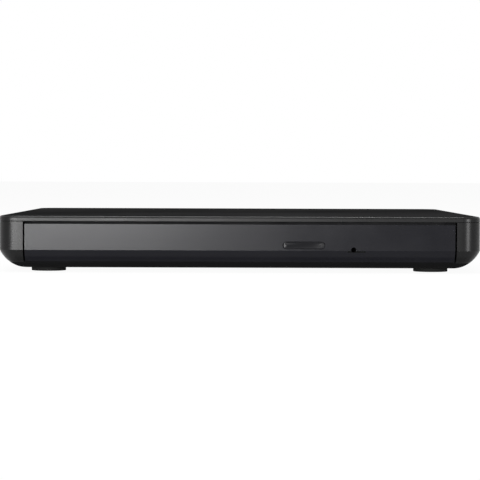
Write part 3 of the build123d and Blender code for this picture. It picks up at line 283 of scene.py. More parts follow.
# %% Surface patterns
def moulded_pattern():
    """Grain = two noises, at the detail scale and a third of it; gloss = noise a sixtieth as fine."""
    tree, given, out = start_group("moulded")
    vector, scale = given["Vector"], given["Scale"]
    fine = noise(tree, vector, scale, 3.0, 0.6)
    coarse = noise(tree, vector, times(tree, scale, 0.33), 2.0)
    height = weighted(tree, fine, coarse, 0.65)
    broad = noise(tree, vector, times(tree, scale, 0.016), 4.0, 0.6)
    gloss = spread(tree, broad, 0.3, 0.7)
    tone = weighted(tree, fine, gloss, 0.5)
    return end_group(tree, out, tone, gloss, height)


def drawn_pattern():
    """Streaks = noise drawn out 30 times along Y; gloss = half streaks and half broad noise."""
    tree, given, out = start_group("drawn")
    squeezed = node(tree, "Mapping", None, {"Vector": given["Vector"], "Scale": (1, 0.033, 1)}).outputs[0]
    streak = noise(tree, squeezed, given["Scale"], 4.0, 0.65)
    cloud = noise(tree, given["Vector"], times(tree, given["Scale"], 0.03), 4.0, 0.6)
    tone = spread(tree, streak, 0.3, 0.7)
    gloss = weighted(tree, tone, cloud, 0.5)
    return end_group(tree, out, tone, gloss, streak)


def cast_pattern():
    """Skin = distance in rounded cells, plus fine noise; tone follows the broad flow of the metal."""
    tree, given, out = start_group("cast")
    inputs = {"Vector": given["Vector"], "Scale": given["Scale"]}
    cells = node(tree, "TexVoronoi", {"feature": "SMOOTH_F1"}, inputs).outputs[0]
    fine = noise(tree, given["Vector"], times(tree, given["Scale"], 3.0), 3.0, 0.6)
    flow = noise(tree, given["Vector"], times(tree, given["Scale"], 0.08), 3.0)
    height = weighted(tree, cells, fine, 0.7)
    return end_group(tree, out, spread(tree, flow, 0.3, 0.7), fine, height)


def striped_pattern():
    """Stripes along Y, one per unit of scale across X, as a sine of x, with a faint uneven sheen."""
    tree, given, out = start_group("striped")
    settings = {"wave_type": "BANDS", "bands_direction": "X", "wave_profile": "SIN"}
    one_band = 0.31416  # the node draws 20 / (2 pi) bands in a unit of its scale
    inputs = {"Vector": given["Vector"], "Scale": times(tree, given["Scale"], one_band)}
    stripe = node(tree, "TexWave", settings, inputs).outputs[1]
    line = spread(tree, stripe, 0.35, 0.65)
    sheen = noise(tree, given["Vector"], times(tree, given["Scale"], 0.1), 3.0)
    return end_group(tree, out, line, sheen, line)


def board_pattern():
    """Tracks = the joints of two brick patterns, one turned; round lands where cells are near."""
    tree, given, out = start_group("board")
    places = given["Vector"]
    turned = node(tree, "Mapping", None, {"Vector": places, "Rotation": (0, 0, math.pi / 2)}).outputs[0]
    tracks = []
    for place, width, row in ((places, 1.7, 0.31), (turned, 2.3, 0.43)):
        inputs = {"Vector": place, "Scale": given["Scale"], "Mortar Size": 0.05, "Mortar Smooth": 0.1,
                  "Brick Width": width, "Row Height": row}
        tracks.append(node(tree, "TexBrick", {"offset": 0.37}, inputs).outputs[1])
    inputs = {"Vector": places, "Scale": times(tree, given["Scale"], 1.4)}
    cells = node(tree, "TexVoronoi", None, inputs).outputs[0]
    lands = maths(tree, "LESS_THAN", cells, 0.16)
    track = maths(tree, "MAXIMUM", maths(tree, "MAXIMUM", tracks[0], tracks[1]), lands)
    weave = noise(tree, places, times(tree, given["Scale"], 3.0), 2.0)
    return end_group(tree, out, track, weave, track)


patterns = {
    "moulded": moulded_pattern(), "drawn": drawn_pattern(), "cast": cast_pattern(),
    "striped": striped_pattern(), "board": board_pattern(),
}
print("patterns:", ", ".join(patterns))

# %% [markdown]
# ## Dust and handling
# Outside surfaces also gather dust on what faces up, and rubbed patches. Both are masks in a
# group of their own, so that the lid, the front and the tray all age in the same way.

# %% Wear on outside surfaces
def wear_group():
    """Rubbed = broad noise above a level; Dust = fine specks, thinned by how far a face looks up."""
    tree, given, out = start_group("wear", "Amount", ("Rubbed", "Dust"))
    patches = noise(tree, given["Vector"], 38.0, 5.0, 0.62)
    rubbed = spread(tree, patches, 0.52, 0.68)
    specks = node(tree, "TexVoronoi", None, {"Vector": given["Vector"], "Scale": 900.0}).outputs[0]
    small = spread(tree, specks, 0.05, 0.11, 1.0, 0.0)
    thin = spread(tree, noise(tree, given["Vector"], 60.0, 3.0), 0.5, 0.7)
    normal = node(tree, "NewGeometry").outputs["Normal"]
    up = maths(tree, "MAXIMUM", node(tree, "SeparateXYZ", None, {0: normal}).outputs[2], 0.0)
    dust = times(tree, times(tree, small, thin), up)
    amount = given["Amount"]
    return end_group(tree, out, times(tree, rubbed, amount), times(tree, dust, amount))


wear = wear_group()
sockets = [socket.name for socket in wear.interface.items_tree if socket.in_out == "OUTPUT"]
print("wear puts out", " and ".join(sockets))

# %% [markdown]
# ## One recipe for every finish
# A finish is a Principled shader: base colour runs between two tones, roughness between two
# values, and the height becomes a bump of a real depth. What is the same all over, such as the
# specular level or a clear coat, is set on the shader's own socket. Worn finishes also get grey
# dust on what faces up, and a little more gloss where they are rubbed.

# %% The recipe
def make_finish(name, pattern, scale, colours, rough, depth, metal=0.0, level=0.5, turn=(0, 0, 0), worn=0.0):
    """Principled material: colour, roughness and bump from one pattern, with some wear on top."""
    material = bpy.data.materials.new(name)
    material.use_nodes = True
    tree = material.node_tree
    shader = tree.nodes["Principled BSDF"]
    shader.inputs["Metallic"].default_value = metal
    shader.inputs["Specular IOR Level"].default_value = level
    place = node(tree, "TexCoord").outputs["Object"]
    turned = node(tree, "Mapping", None, {"Vector": place, "Rotation": turn}).outputs[0]
    detail = node(tree, "Group", {"node_tree": patterns[pattern]}, {"Vector": turned, "Scale": scale}).outputs
    dark, light = [(*colour, 1.0) for colour in colours]
    blend = {"data_type": "RGBA", "clamp_factor": True}
    colour = node(tree, "Mix", blend, {0: detail["Tone"], 6: dark, 7: light}).outputs[2]
    gloss = spread(tree, detail["Gloss"], 0.0, 1.0, rough[0], rough[1])
    if worn:
        age = node(tree, "Group", {"node_tree": wear}, {"Vector": place, "Amount": worn}).outputs
        dust_grey = (0.16, 0.155, 0.15, 1.0)
        polish = 0.08
        colour = node(tree, "Mix", blend, {0: age["Dust"], 6: colour, 7: dust_grey}).outputs[2]
        gloss = maths(tree, "SUBTRACT", gloss, times(tree, age["Rubbed"], polish))
    tree.links.new(colour, shader.inputs["Base Color"])
    tree.links.new(gloss, shader.inputs["Roughness"])
    bump = node(tree, "Bump", None, {"Height": detail["Height"], "Distance": depth, "Strength": 1.0})
    tree.links.new(bump.outputs[0], shader.inputs["Normal"])
    return material

# %% [markdown]
# ## The finishes
# The case is satin black plastic with a coarser, matter texture on top of the lid, and it is
# duller still below. The tray front is smoother, nearly gloss, and a little blue. Inside are
# galvanised sheet, die-cast metal, green boards and pale guides. The scale of each pattern is
# the number of details in a metre, and the depth of its bump is in metres.

# %% Finishes
case_finish = make_finish(
    "case satin black", "moulded", 2600, ((0.003, 0.003, 0.0031), (0.005, 0.005, 0.0052)), (0.26, 0.33),
    0.002 * mm, level=0.16, worn=0.3,
)
under_finish = make_finish(
    "case underside texture", "moulded", 1500, ((0.003, 0.003, 0.0033), (0.007, 0.007, 0.0073)), (0.6, 0.75),
    0.03 * mm, level=0.03, worn=0.2,
)
lid_finish = make_finish(
    "lid top texture", "moulded", 700, ((0.004, 0.004, 0.0042), (0.031, 0.031, 0.0316)), (0.62, 0.8),
    0.12 * mm, level=0.0, worn=0.6,
)
front_finish = make_finish(
    "tray front gloss", "moulded", 3400, ((0.002, 0.002, 0.0036), (0.004, 0.004, 0.0058)), (0.2, 0.25),
    0.001 * mm, level=0.16, worn=0.2,
)
finishes = {
    "case_plastic": case_finish,
    "front_panel": front_finish,
    "button_plastic": make_finish(
        "button gloss", "moulded", 3000, ((0.002, 0.002, 0.0028), (0.004, 0.004, 0.005)), (0.2, 0.26),
        0.001 * mm, level=0.16, worn=0.2),
    "foot_rubber": make_finish(
        "rubber", "moulded", 5200, ((0.004, 0.004, 0.004), (0.009, 0.009, 0.009)), (0.7, 0.9),
        0.03 * mm, level=0.1),
    "screw_steel": make_finish(
        "zinc plate", "cast", 9000, ((0.36, 0.37, 0.38), (0.55, 0.55, 0.54)), (0.25, 0.42),
        0.01 * mm, metal=1.0),
    "chassis_steel": make_finish(
        "galvanised sheet", "drawn", 2400, ((0.4, 0.41, 0.42), (0.56, 0.57, 0.57)), (0.26, 0.44),
        0.006 * mm, metal=1.0),
    "bright_steel": make_finish(
        "ground steel", "drawn", 5200, ((0.52, 0.52, 0.53), (0.68, 0.68, 0.68)), (0.12, 0.24),
        0.003 * mm, metal=1.0, turn=(0, 0, math.radians(45))),
    "tray_plastic": make_finish(
        "tray matte black", "moulded", 3200, ((0.02, 0.02, 0.021), (0.03, 0.03, 0.0315)), (0.42, 0.56),
        0.012 * mm, level=0.3, worn=0.7),
    "guide_plastic": make_finish(
        "natural nylon", "moulded", 2600, ((0.52, 0.5, 0.45), (0.66, 0.64, 0.58)), (0.38, 0.5), 0.01 * mm),
    "hub_plastic": make_finish(
        "hub satin", "moulded", 3800, ((0.03, 0.03, 0.032), (0.045, 0.045, 0.047)), (0.3, 0.42), 0.006 * mm),
    "board_green": make_finish(
        "solder resist", "board", 420, ((0.006, 0.055, 0.022), (0.016, 0.11, 0.045)), (0.22, 0.36),
        0.03 * mm),
    "chip_black": make_finish(
        "chip epoxy", "moulded", 7000, ((0.014, 0.014, 0.014), (0.026, 0.026, 0.026)), (0.5, 0.65),
        0.015 * mm),
    "connector_plastic": make_finish(
        "connector cream", "moulded", 4200, ((0.4, 0.375, 0.31), (0.52, 0.49, 0.42)), (0.35, 0.5), 0.01 * mm),
    "cable_film": make_finish(
        "cable film", "striped", 1250, ((0.62, 0.58, 0.47), (0.36, 0.33, 0.25)), (0.22, 0.34), 0.03 * mm),
    "cast_frame": make_finish(
        "die casting", "cast", 2200, ((0.3, 0.3, 0.305), (0.44, 0.44, 0.445)), (0.4, 0.58),
        0.03 * mm, metal=0.9),
    "pickup_metal": make_finish(
        "machined casting", "cast", 3600, ((0.34, 0.34, 0.345), (0.5, 0.5, 0.5)), (0.3, 0.46),
        0.015 * mm, metal=0.9),
    "motor_steel": make_finish(
        "motor can", "drawn", 3600, ((0.3, 0.3, 0.305), (0.44, 0.44, 0.44)), (0.24, 0.38),
        0.005 * mm, metal=1.0),
    "stator_copper": make_finish(
        "enamelled wire", "striped", 4200, ((0.36, 0.12, 0.035), (0.62, 0.27, 0.1)), (0.2, 0.34),
        0.05 * mm, metal=0.8),
}
# painted shade: the felt's black colour stands in for the shade in the slit above the tray front
felt_painted_shade = make_finish(
    "black felt", "moulded", 9000, ((0.006, 0.006, 0.0065), (0.016, 0.016, 0.0165)), (0.85, 0.98),
    0.1 * mm, level=0.0,
)
print(len(finishes), "finishes, and the lens to come")

# %% [markdown]
# ## The lens
# The lens is clear with a faint blue coating. It keeps a plain transmission, and only its tint
# and its roughness change, by the least trace of dust on the glass.

# %% Lens glass
lens_finish = make_finish(
    "coated lens", "moulded", 6000, ((0.55, 0.66, 0.9), (0.7, 0.78, 0.95)), (0.02, 0.06), 0.0004 * mm)
lens_shader = lens_finish.node_tree.nodes["Principled BSDF"]
lens_shader.inputs["Transmission Weight"].default_value = 0.9
lens_shader.inputs["IOR"].default_value = 1.5
lens_shader.inputs["Coat Weight"].default_value = 0.4
finishes["lens_glass"] = lens_finish

# %% [markdown]
# ## Dressing the parts that stay
# Most inner parts already have the right shape, so they keep their meshes and only get the
# finish of their slot. The record says which slot each part belongs to. The hook of the latch
# is pale nylon and stands right behind the release hole. It gets the dull black of the case's
# underside as painted shade, in place of the shade deep inside the hole, so that no lit hook
# shows through it.

# %% Dress the parts
for part in frame["record"]["subparts"]:
    slots = frame["nodes"][part["node"]].material_slots
    for slot in slots:
        slot.material = finishes[part["material_slot"]]
# painted shade: the pale hook is coloured black for the shade inside the release hole
for slot in frame["nodes"]["latch_hook"].material_slots:
    slot.material = under_finish

# %% [markdown]
# ## The outline that the shells share
# Lid, case and rims all follow one rounded rectangle. Drawn in by a distance, its corner arcs
# shrink about fixed centres, and once they have shrunk to nothing the corners are square. So a
# ring is a set of centres and directions: point = centre + (radius - inset) * direction, with
# the centres themselves drawn in when the inset is more than the radius. The stops put exact
# columns where an opening starts or ends.

# %% Rings of the outline
def outline(stops_front=(), stops_rear=(), corner_steps=12):
    """Centres and directions of the points of the case outline, anticlockwise from the front left."""
    reach_x = half_x - corner_radius
    reach_y = half_y - corner_radius
    front = np.array([-reach_x, *stops_front, reach_x])
    rear = np.array([reach_x, *stops_rear, -reach_x])
    side = np.linspace(-reach_y, reach_y, 9)
    turn = np.linspace(0, math.pi / 2, corner_steps + 1)[1:-1]
    runs = [
        (np.column_stack([front, np.full_like(front, -reach_y)]), np.full_like(front, -math.pi / 2)),
        (np.tile([reach_x, -reach_y], (len(turn), 1)), turn - math.pi / 2),
        (np.column_stack([np.full_like(side, reach_x), side]), np.zeros_like(side)),
        (np.tile([reach_x, reach_y], (len(turn), 1)), turn),
        (np.column_stack([rear, np.full_like(rear, reach_y)]), np.full_like(rear, math.pi / 2)),
        (np.tile([-reach_x, reach_y], (len(turn), 1)), turn + math.pi / 2),
        (np.column_stack([np.full_like(side, -reach_x), -side]), np.full_like(side, math.pi)),
        (np.tile([-reach_x, -reach_y], (len(turn), 1)), turn + math.pi),
    ]
    centres = np.concatenate([run[0] for run in runs])
    angles = np.concatenate([run[1] for run in runs])
    return centres, np.column_stack([np.cos(angles), np.sin(angles)])


def rings(path, profile):
    """Rows of points: the outline drawn in by each inset of the profile, at that row's height."""
    centres, directions = path
    inset, height = np.asarray(profile, float).T
    past = np.maximum(inset - corner_radius, 0)[:, None]
    limit_x = half_x - corner_radius - past
    limit_y = half_y - corner_radius - past
    x = np.clip(centres[None, :, 0], -limit_x, limit_x)
    y = np.clip(centres[None, :, 1], -limit_y, limit_y)
    radius = np.maximum(corner_radius - inset, 0)[:, None]
    x = x + radius * directions[None, :, 0]
    y = y + radius * directions[None, :, 1]
    return np.stack([x, y, np.broadcast_to(height[:, None], x.shape)], axis=-1)


def edge_point(angle):
    """Inset and height on the lower round of the case, at an angle from straight down."""
    return edge_inset - edge_radius * math.sin(angle), bottom_z + edge_radius * (1 - math.cos(angle))


def edge_angle(height):
    """Angle at which the lower round reaches a height."""
    return math.acos(1 - (height - bottom_z) / edge_radius)


print("lower round: radius", round(edge_radius / mm, 2), "mm")

# %% [markdown]
# ## The lower case
# The case is a thin shell, so it is drawn as its outer surface alone, from the flat bottom up
# the round and the wall, and a Solidify modifier gives it its wall. The front opening and the
# hole for the data socket are cells of the grid that are left out. Their edges fall on exact
# rows and columns, so they need no cutting, and the Bevel rounds them afterwards.

# %% Lower case
socket_low, socket_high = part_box("usb_socket")
socket_play = 0.2 * mm
front_zone = 4 * mm
rear_zone = 2 * mm
hole_x = (socket_low.x - socket_play, socket_high.x + socket_play)
hole_z = (socket_low.z - socket_play, socket_high.z + socket_play)
front_stops = np.linspace(-opening_half, opening_half, 17)
rear_stops = [60 * mm, 40 * mm, 20 * mm, 0, -20 * mm, hole_x[1], hole_x[0], -60 * mm]
case_path = outline(front_stops, rear_stops)
levels = np.sort([
    *np.linspace(0, edge_angle(lip_top), 7), edge_angle(hole_z[0]),
    *np.linspace(edge_angle(lip_top), math.pi / 2 - crease_lean, 6)[1:],
])
case_profile = [edge_point(angle) for angle in levels]
case_profile += [(0, hole_z[1]), (0, rim_z)]
case_points = rings(case_path, case_profile)
case_faces = grid_faces(*case_points.shape[:2], around=True)
centre = case_points.reshape(-1, 3)[case_faces].mean(axis=2)
x, y, z = np.moveaxis(centre, -1, 0)
in_opening = (y < -half_y + front_zone) & (np.abs(x) < opening_half) & (z > lip_top)
in_hole = (y > half_y - rear_zone) & (x > hole_x[0]) & (x < hole_x[1]) & (z > hole_z[0]) & (z < hole_z[1])
print("cells left out:", int(in_opening.sum()), "for the tray,", int(in_hole.sum()), "for the socket")
case_list = case_faces[~(in_opening | in_hole)].tolist()
case_list.append(list(range(case_points.shape[1]))[::-1])
case_shell = add_piece("case_shell", case_points, case_list, "enclosure", case_finish, 20, ["bottom_case"])
case_shell.data.materials.append(under_finish)
heights = np.array([face.center.z for face in case_shell.data.polygons])
below = heights < lip_top
case_shell.data.polygons.foreach_set("material_index", below.astype(np.int32))
print(int(below.sum()), "faces of the underside are textured")
give_wall(case_shell, wall)
soften(case_shell, 0.12 * mm)

# %% [markdown]
# Inside, the case carries pads under the drive over each foot, and two posts for the small
# board at the back. They are short round bars, which is a profile of radius and height spun
# about an upright line: x = cx + r cos(t), y = cy + r sin(t).

# %% Pads and posts
def turned(profile, places, steps=48):
    """Points and faces of one closed profile of radius and height, spun at each x, y place."""
    radius, height = np.asarray(profile, float).T
    angle = np.linspace(0, 2 * math.pi, steps, endpoint=False)
    x = radius[:, None] * np.cos(angle)
    y = radius[:, None] * np.sin(angle)
    z = np.broadcast_to(height[:, None], x.shape)
    one = np.stack([x, y, z], axis=-1).reshape(-1, 3)
    offsets = np.array([(px, py, 0) for px, py in places])
    points = (offsets[:, None, :] + one[None]).reshape(-1, 3)
    faces = grid_faces(len(profile), steps, around=True).reshape(-1, 4)
    return points, (faces[None] + len(one) * np.arange(len(places))[:, None, None]).reshape(-1, 4)


foot_x = half_x - 14.0 * mm
foot_y = half_y - 14.5 * mm
corners = [(sx * foot_x, sy * foot_y) for sx in (-1, 1) for sy in (-1, 1)]
board_low, board_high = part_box("bridge_board")
board_y = (board_low.y + board_high.y) / 2
screw_inset = 1.9 * mm
ends = [(board_low.x + screw_inset, board_y), (board_high.x - screw_inset, board_y)]
pad_radius = 4.5 * mm
post_radius = 1.6 * mm
sunk_z = bottom_z + wall - 0.1 * mm  # a little below the floor, so that no slit shows
pan_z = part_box("chassis_pan")[0].z
for name, radius, top_z, places in (
    ("case_pads", pad_radius, pan_z, corners),
    ("board_posts", post_radius, board_low.z, ends),
):
    points, faces = turned([(0, sunk_z), (radius, sunk_z), (radius, top_z), (0, top_z)], places)
    add_piece(name, points, faces, "enclosure", case_finish)

# %% [markdown]
# ## The lid
# The lid is a flat plate with a step underneath that hides the case rim. Its edge leans in a
# little before it turns over to the top in a narrow bevel, which draws a thin bright line round
# the lid with a darker one below it. The profile of inset and height runs from the underside,
# down the step, out to the side, up and over. Two flat faces close it. The flat top gets the
# coarser texture, because a mould for such a lid is textured there and polished at the edge.

# %% Lid
lean_drop, lean_inset = 0.62 * mm, 0.1 * mm
bevel_drop, bevel_inset = 0.22 * mm, 0.32 * mm
lid_underside = lid_top - 1.4 * mm
lid_edge = rim_z + seam
lid_profile = [
    (wall, lid_underside), (wall, lid_edge), (0, lid_edge), (0, lid_top - lean_drop),
    (lean_inset, lid_top - bevel_drop), (bevel_inset, lid_top),
]
lid_points = rings(outline(corner_steps=16), lid_profile)
lid_faces = tube_faces(len(lid_profile), lid_points.shape[1])
lid = add_piece("lid", lid_points, lid_faces, "enclosure", case_finish, 20, ["top_cover"])
lid.data.materials.append(lid_finish)
top_face = lid.data.polygons[len(lid.data.polygons) - 1]
top_face.material_index = 1
print("top face looks up:", round(top_face.normal.z, 3))
soften(lid, 0.07 * mm)

# %% [markdown]
# Six catches hang from the lid inside the side walls and hold it to the case.

# %% Lid catches
catch_inner = half_x - 2.3 * mm
catch_outer = half_x - wall - 0.05 * mm
catch_half = 3 * mm
catch_drop = 3 * mm
catches = []
for y in (-42 * mm, 0, 42 * mm):
    for side in (-1, 1):
        near, far = sorted((side * catch_inner, side * catch_outer))
        low = (near, y - catch_half, lid_underside - catch_drop)
        high = (far, y + catch_half, lid_underside + seam)
        catches.append((*low, *high))
points, faces = box_mesh(catches)
soften(add_piece("lid_catches", points, faces, "enclosure", case_finish), 0.15 * mm)

# %% [markdown]
# ## Holes cut by a Boolean
# Grid cells can be left out only along rows and columns. A round hole in a plain face is easier
# to cut with a Boolean, and applying it at once leaves an ordinary mesh that the next step can
# work on. The cutter is an outline of x and z carried along Y.

# %% Cutting tool
def pill(reach, radius, steps=64):
    """Outline of a pill: a half circle about each end of its middle line, as x and z."""
    angle = np.linspace(0, 2 * math.pi, steps, endpoint=False) + math.pi / steps
    x = radius * np.cos(angle) + np.where(np.cos(angle) > 0, reach, -reach)
    return np.column_stack([x, radius * np.sin(angle)])


def bake(piece):
    """Makes a piece's modifiers final."""
    view = bpy.context.evaluated_depsgraph_get()
    view.update()
    mesh = bpy.data.meshes.new_from_object(piece.evaluated_get(view))
    piece.modifiers.clear()
    piece.data = mesh


def drill(piece, section, x, z, y_near, y_far):
    """Cuts a straight hole along Y whose outline is the section of x and z about a point."""
    size = len(section)
    ring = np.column_stack([section[:, 0] + x, np.full(size, y_near), section[:, 1] + z])
    points = np.concatenate([ring, ring + [0, y_far - y_near, 0]])
    faces = [face[::-1] for face in tube_faces(2, size)]
    mesh = bpy.data.meshes.new("drill")
    mesh.from_pydata(points.tolist(), [], faces)
    tool = add_object("drill", mesh)
    hole = piece.modifiers.new("hole", "BOOLEAN")
    hole.object = tool
    hole.operation = "DIFFERENCE"
    hole.solver = "EXACT"
    bake(piece)
    bpy.data.objects.remove(tool)
    print("hole through", piece.name, "leaves", len(piece.data.polygons), "faces")

# %% [markdown]
# ## The tray front
# The front follows the case: the same round below, the same crease, an upright face, then a
# short top. Its half-open box is the profile carried straight along X, closed at both ends,
# and given a wall inwards. The button gets a pill-shaped hole, and a round one to its right is
# for the wire that releases the tray by hand.

# %% Tray front
skin = 1.5 * mm
front_back = -half_y + 4 * mm
front_angles = np.linspace(edge_angle(front_low.z), math.pi / 2 - crease_lean, 8)
front_profile = [(half_y + front_back, front_low.z)] + [edge_point(angle) for angle in front_angles]
front_profile += [(0, front_high.z), (half_y + front_back, front_high.z)]
inset, height = np.array(front_profile).T
columns = np.linspace(front_low.x, front_high.x, 25)
grid = np.stack(np.broadcast_arrays(columns, (inset - half_y)[:, None], height[:, None]), axis=-1)
rows = len(front_profile)
front_faces = grid_faces(rows, len(columns)).reshape(-1, 4).tolist()
index = np.arange(rows * len(columns)).reshape(rows, -1)
front_faces += [index[:, 0].tolist(), index[::-1, -1].tolist()]
tray_front = add_piece("tray_front", grid, front_faces, "tray_unit", front_finish, 20, ["tray_bezel"])
give_wall(tray_front, skin)
bake(tray_front)

# %% Holes of the tray front
button_low, button_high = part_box("eject_button")
button_x = (button_low.x + button_high.x) / 2
button_z = 8.25 * mm
button_radius = 1.05 * mm
button_reach = 12.45 * mm / 2 - button_radius
button_play = 0.05 * mm
release_x = 33.8 * mm
release_z = 6.95 * mm
release_radius = 0.75 * mm
cut_from, cut_to = -80 * mm, -66.5 * mm
button_hole = pill(button_reach, button_radius + button_play)
drill(tray_front, button_hole, button_x, button_z, cut_from, cut_to)
drill(tray_front, pill(0, release_radius, 32), release_x, release_z, cut_from, cut_to)
tray_front.data.shade_smooth()
tray_front.data.set_sharp_from_angle(angle=math.radians(20))
soften(tray_front, 0.1 * mm, 22)

# %% [markdown]
# The wall of the release hole stays rough from the mould, so it gets the dull finish of the
# underside and looks dark.

# %% Wall of the release hole
centres = np.array([face.center for face in tray_front.data.polygons])
from_hole = np.hypot(centres[:, 0] - release_x, centres[:, 2] - release_z)
near_hole = from_hole < release_radius + 0.01 * mm
behind_face = centres[:, 1] > -half_y + 0.1 * mm
in_hole = near_hole & behind_face
tray_front.data.materials.append(under_finish)
tray_front.data.polygons.foreach_set("material_index", in_hole.astype(np.int32))
print(int(in_hole.sum()), "faces in the release hole")

# %% [markdown]
# Behind the front, four clips hold it to the tray, and a collar guides the wire that is pushed
# through the release hole.

# %% Clips and collar
tray_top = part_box("tray")[1].z
clip_half = 2 * mm
clip_front = -half_y + skin - 0.2 * mm
clip_back = front_back + 2.4 * mm
clip_low, clip_high = tray_top - 2.1 * mm, tray_top - 1.1 * mm
clips = [
    (x - clip_half, clip_front, clip_low, x + clip_half, clip_back, clip_high)
    for x in (-50 * mm, -30 * mm, 30 * mm, 50 * mm)
]
points, faces = box_mesh(clips)
soften(add_piece("front_clips", points, faces, "tray_unit", front_finish), 0.1 * mm)

collar_bore, collar_outer = 0.9 * mm, 1.7 * mm
collar_start = -half_y + 1.4 * mm
angle = np.linspace(0, 2 * math.pi, 32, endpoint=False)
radius = np.array([collar_bore, collar_outer, collar_outer, collar_bore])[:, None]
collar_y = np.array([collar_start, collar_start, front_back, front_back])[:, None]
collar_x = release_x + radius * np.cos(angle)
collar_z = release_z + radius * np.sin(angle)
collar = np.stack(np.broadcast_arrays(collar_x, collar_y, collar_z), axis=-1)
collar_faces = grid_faces(4, 32, around=True)[:, :, ::-1].reshape(-1, 4).tolist()
add_piece("release_collar", collar, collar_faces, "tray_unit", under_finish)

# %% [markdown]
# A strip of black felt closes the slit above the tray front and keeps dust out. Its black is
# painted shade: it stands for the shade that fills the slit, and hides the bright sheet of the
# drive. It is glued to the front edge of the chassis cover.

# %% Felt strip, black as painted shade
cover_low, cover_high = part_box("chassis_cover")
felt_half = opening_half - 0.05 * mm
felt_low = (-felt_half, front_back + 0.08 * mm, tray_top + 0.7 * mm)
felt_high = (felt_half, cover_low.y - 0.02 * mm, cover_high.z)
print("felt is", round((felt_high[1] - felt_low[1]) / mm, 2), "mm deep")
points, faces = box_mesh([(*felt_low, *felt_high)])
# painted shade: a black strip where the slit would be in shade
add_piece("felt_shade_strip", points, faces, "enclosure", felt_painted_shade)

# %% [markdown]
# ## The eject button
# The button is a slim pill with rounded rims. Its face is a nest of smaller and smaller pills,
# each pushed in by a depth. The left end falls away in a small dome that catches the light, and
# to the right of it lies a finger dish. The dish's upper wall is steep, its floor slopes back to
# the lower rim, and it gets shallower towards the right until it is flush: depth = share across
# (1 - t)^1.5, with t from 0 left to 1 right.

# %% Eject button
pill_points = 96
button_face = -half_y + 0.02 * mm
rim_round = 0.14 * mm
arc = np.linspace(0, math.pi / 2, 5)
rim_insets = rim_round * (1 - np.cos(arc))
rim_depths = rim_round * (1 - np.sin(arc))
face_insets = np.linspace(rim_round, button_radius, 11)[1:]
insets = np.concatenate([[0], rim_insets, face_insets])
depths = np.concatenate([[skin + 0.5 * mm], rim_depths, np.zeros(len(face_insets))])
nest = np.array([pill(button_reach, button_radius - inset, pill_points) for inset in insets])

# %% [markdown]
# The dish and the dome are added to the depths as whole arrays. Each is a product of ramps that
# are clipped between 0 and 1.

# %% Finger dish and dome
dish_depth, dome_depth = 0.7 * mm, 0.3 * mm
steep_part = 0.16
dish_start, dish_ramp = 0.06, 0.06
dome_end = 0.07
rim_ramp = 0.2 * mm
half_length = button_reach + button_radius
along = np.clip((nest[..., 0] + half_length) / (2 * half_length), 0, 1)
face_half = button_radius - rim_round
across = np.clip((face_half - nest[..., 1]) / (2 * face_half), 0, 1)
slope = np.minimum(across / steep_part, (1 - across) / (1 - steep_part))
start = np.clip((along - dish_start) / dish_ramp, 0, 1)
from_rim = np.clip((insets - rim_round) / rim_ramp, 0, 1)[:, None]
dish = dish_depth * slope * start * (1 - along) ** 1.5 * from_rim
dome = dome_depth * (1 - np.clip(along / dome_end, 0, 1)) ** 2
button_y = button_face + depths[:, None] + dish + dome
button_points = np.stack([button_x + nest[..., 0], button_y, button_z + nest[..., 1]], axis=-1)
button_faces = grid_faces(len(insets), pill_points, around=True)[:, :, ::-1].reshape(-1, 4).tolist()
button_faces.append(list(range(pill_points)))
print("dish is", round(dish.max() / mm, 2), "mm deep, dome", round(dome.max() / mm, 2), "mm")
button_finish = finishes["button_plastic"]
add_piece("button", button_points, button_faces, "button", button_finish, 40, ["eject_button"])

# %% [markdown]
# ## The feet
# Each foot is a rubber disc with a rounded lower rim and a shallow ring in its sole, which
# keeps it from sliding. It is one profile spun about four places.

# %% Feet
foot_radius = 5.2 * mm
foot_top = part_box("rubber_feet")[1].z
foot_round = 0.16 * mm
sole_hollow = 0.12 * mm
arc = np.linspace(-math.pi / 2, 0, 6)
arc_middle = foot_radius - foot_round
foot_profile = [(0, sole_hollow), (2.9 * mm, sole_hollow), (3.1 * mm, 0), (4.0 * mm, 0)]
foot_profile += [
    (arc_middle + foot_round * math.cos(turn), foot_round + foot_round * math.sin(turn)) for turn in arc
]
foot_profile += [(foot_radius, foot_top), (0, foot_top)]
points, faces = turned(foot_profile, corners, 64)
add_piece("feet", points, faces, "enclosure", finishes["foot_rubber"], 35, ["rubber_feet"])

# %% [markdown]
# ## The flat cable
# A flat cable joins the board at the back to the board under the tray. It runs forwards on the
# floor, folds over and runs back, and the fold rolls as the tray moves. The ribbon is a
# rectangle carried along that line of y and z, and its points turn from the case to the tray
# over the height of the fold.

# %% Flat cable
cable_low, cable_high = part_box("flex_cable")
plug_low, plug_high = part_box("tray_flex_connector")
plug_y = (plug_low.y + plug_high.y) / 2
half_thick = 0.075 * mm
fold_radius = (cable_high.z - cable_low.z) / 2 - half_thick
fold_y = cable_low.y + fold_radius + half_thick
middle_z = (cable_low.z + cable_high.z) / 2
lower_z, upper_z = middle_z - fold_radius, middle_z + fold_radius
steps = 40
bend = np.linspace(-math.pi / 2, -3 * math.pi / 2, 13)
forwards = np.linspace(cable_high.y, fold_y, steps)
backwards = np.linspace(fold_y, plug_y, steps)
fold_line_y = fold_y + fold_radius * np.cos(bend)
fold_line_z = middle_z + fold_radius * np.sin(bend)
line_y = np.concatenate([forwards, fold_line_y, backwards])
line_z = np.concatenate([np.full(steps, lower_z), fold_line_z, np.full(steps, upper_z)])
tangent = np.column_stack([np.gradient(line_y), np.gradient(line_z)])
tangent /= np.linalg.norm(tangent, axis=1, keepdims=True)
normal = np.column_stack([-tangent[:, 1], tangent[:, 0]])
across = np.array([-1, 1, 1, -1]) * cable_high.x
through = np.array([-1, -1, 1, 1]) * half_thick
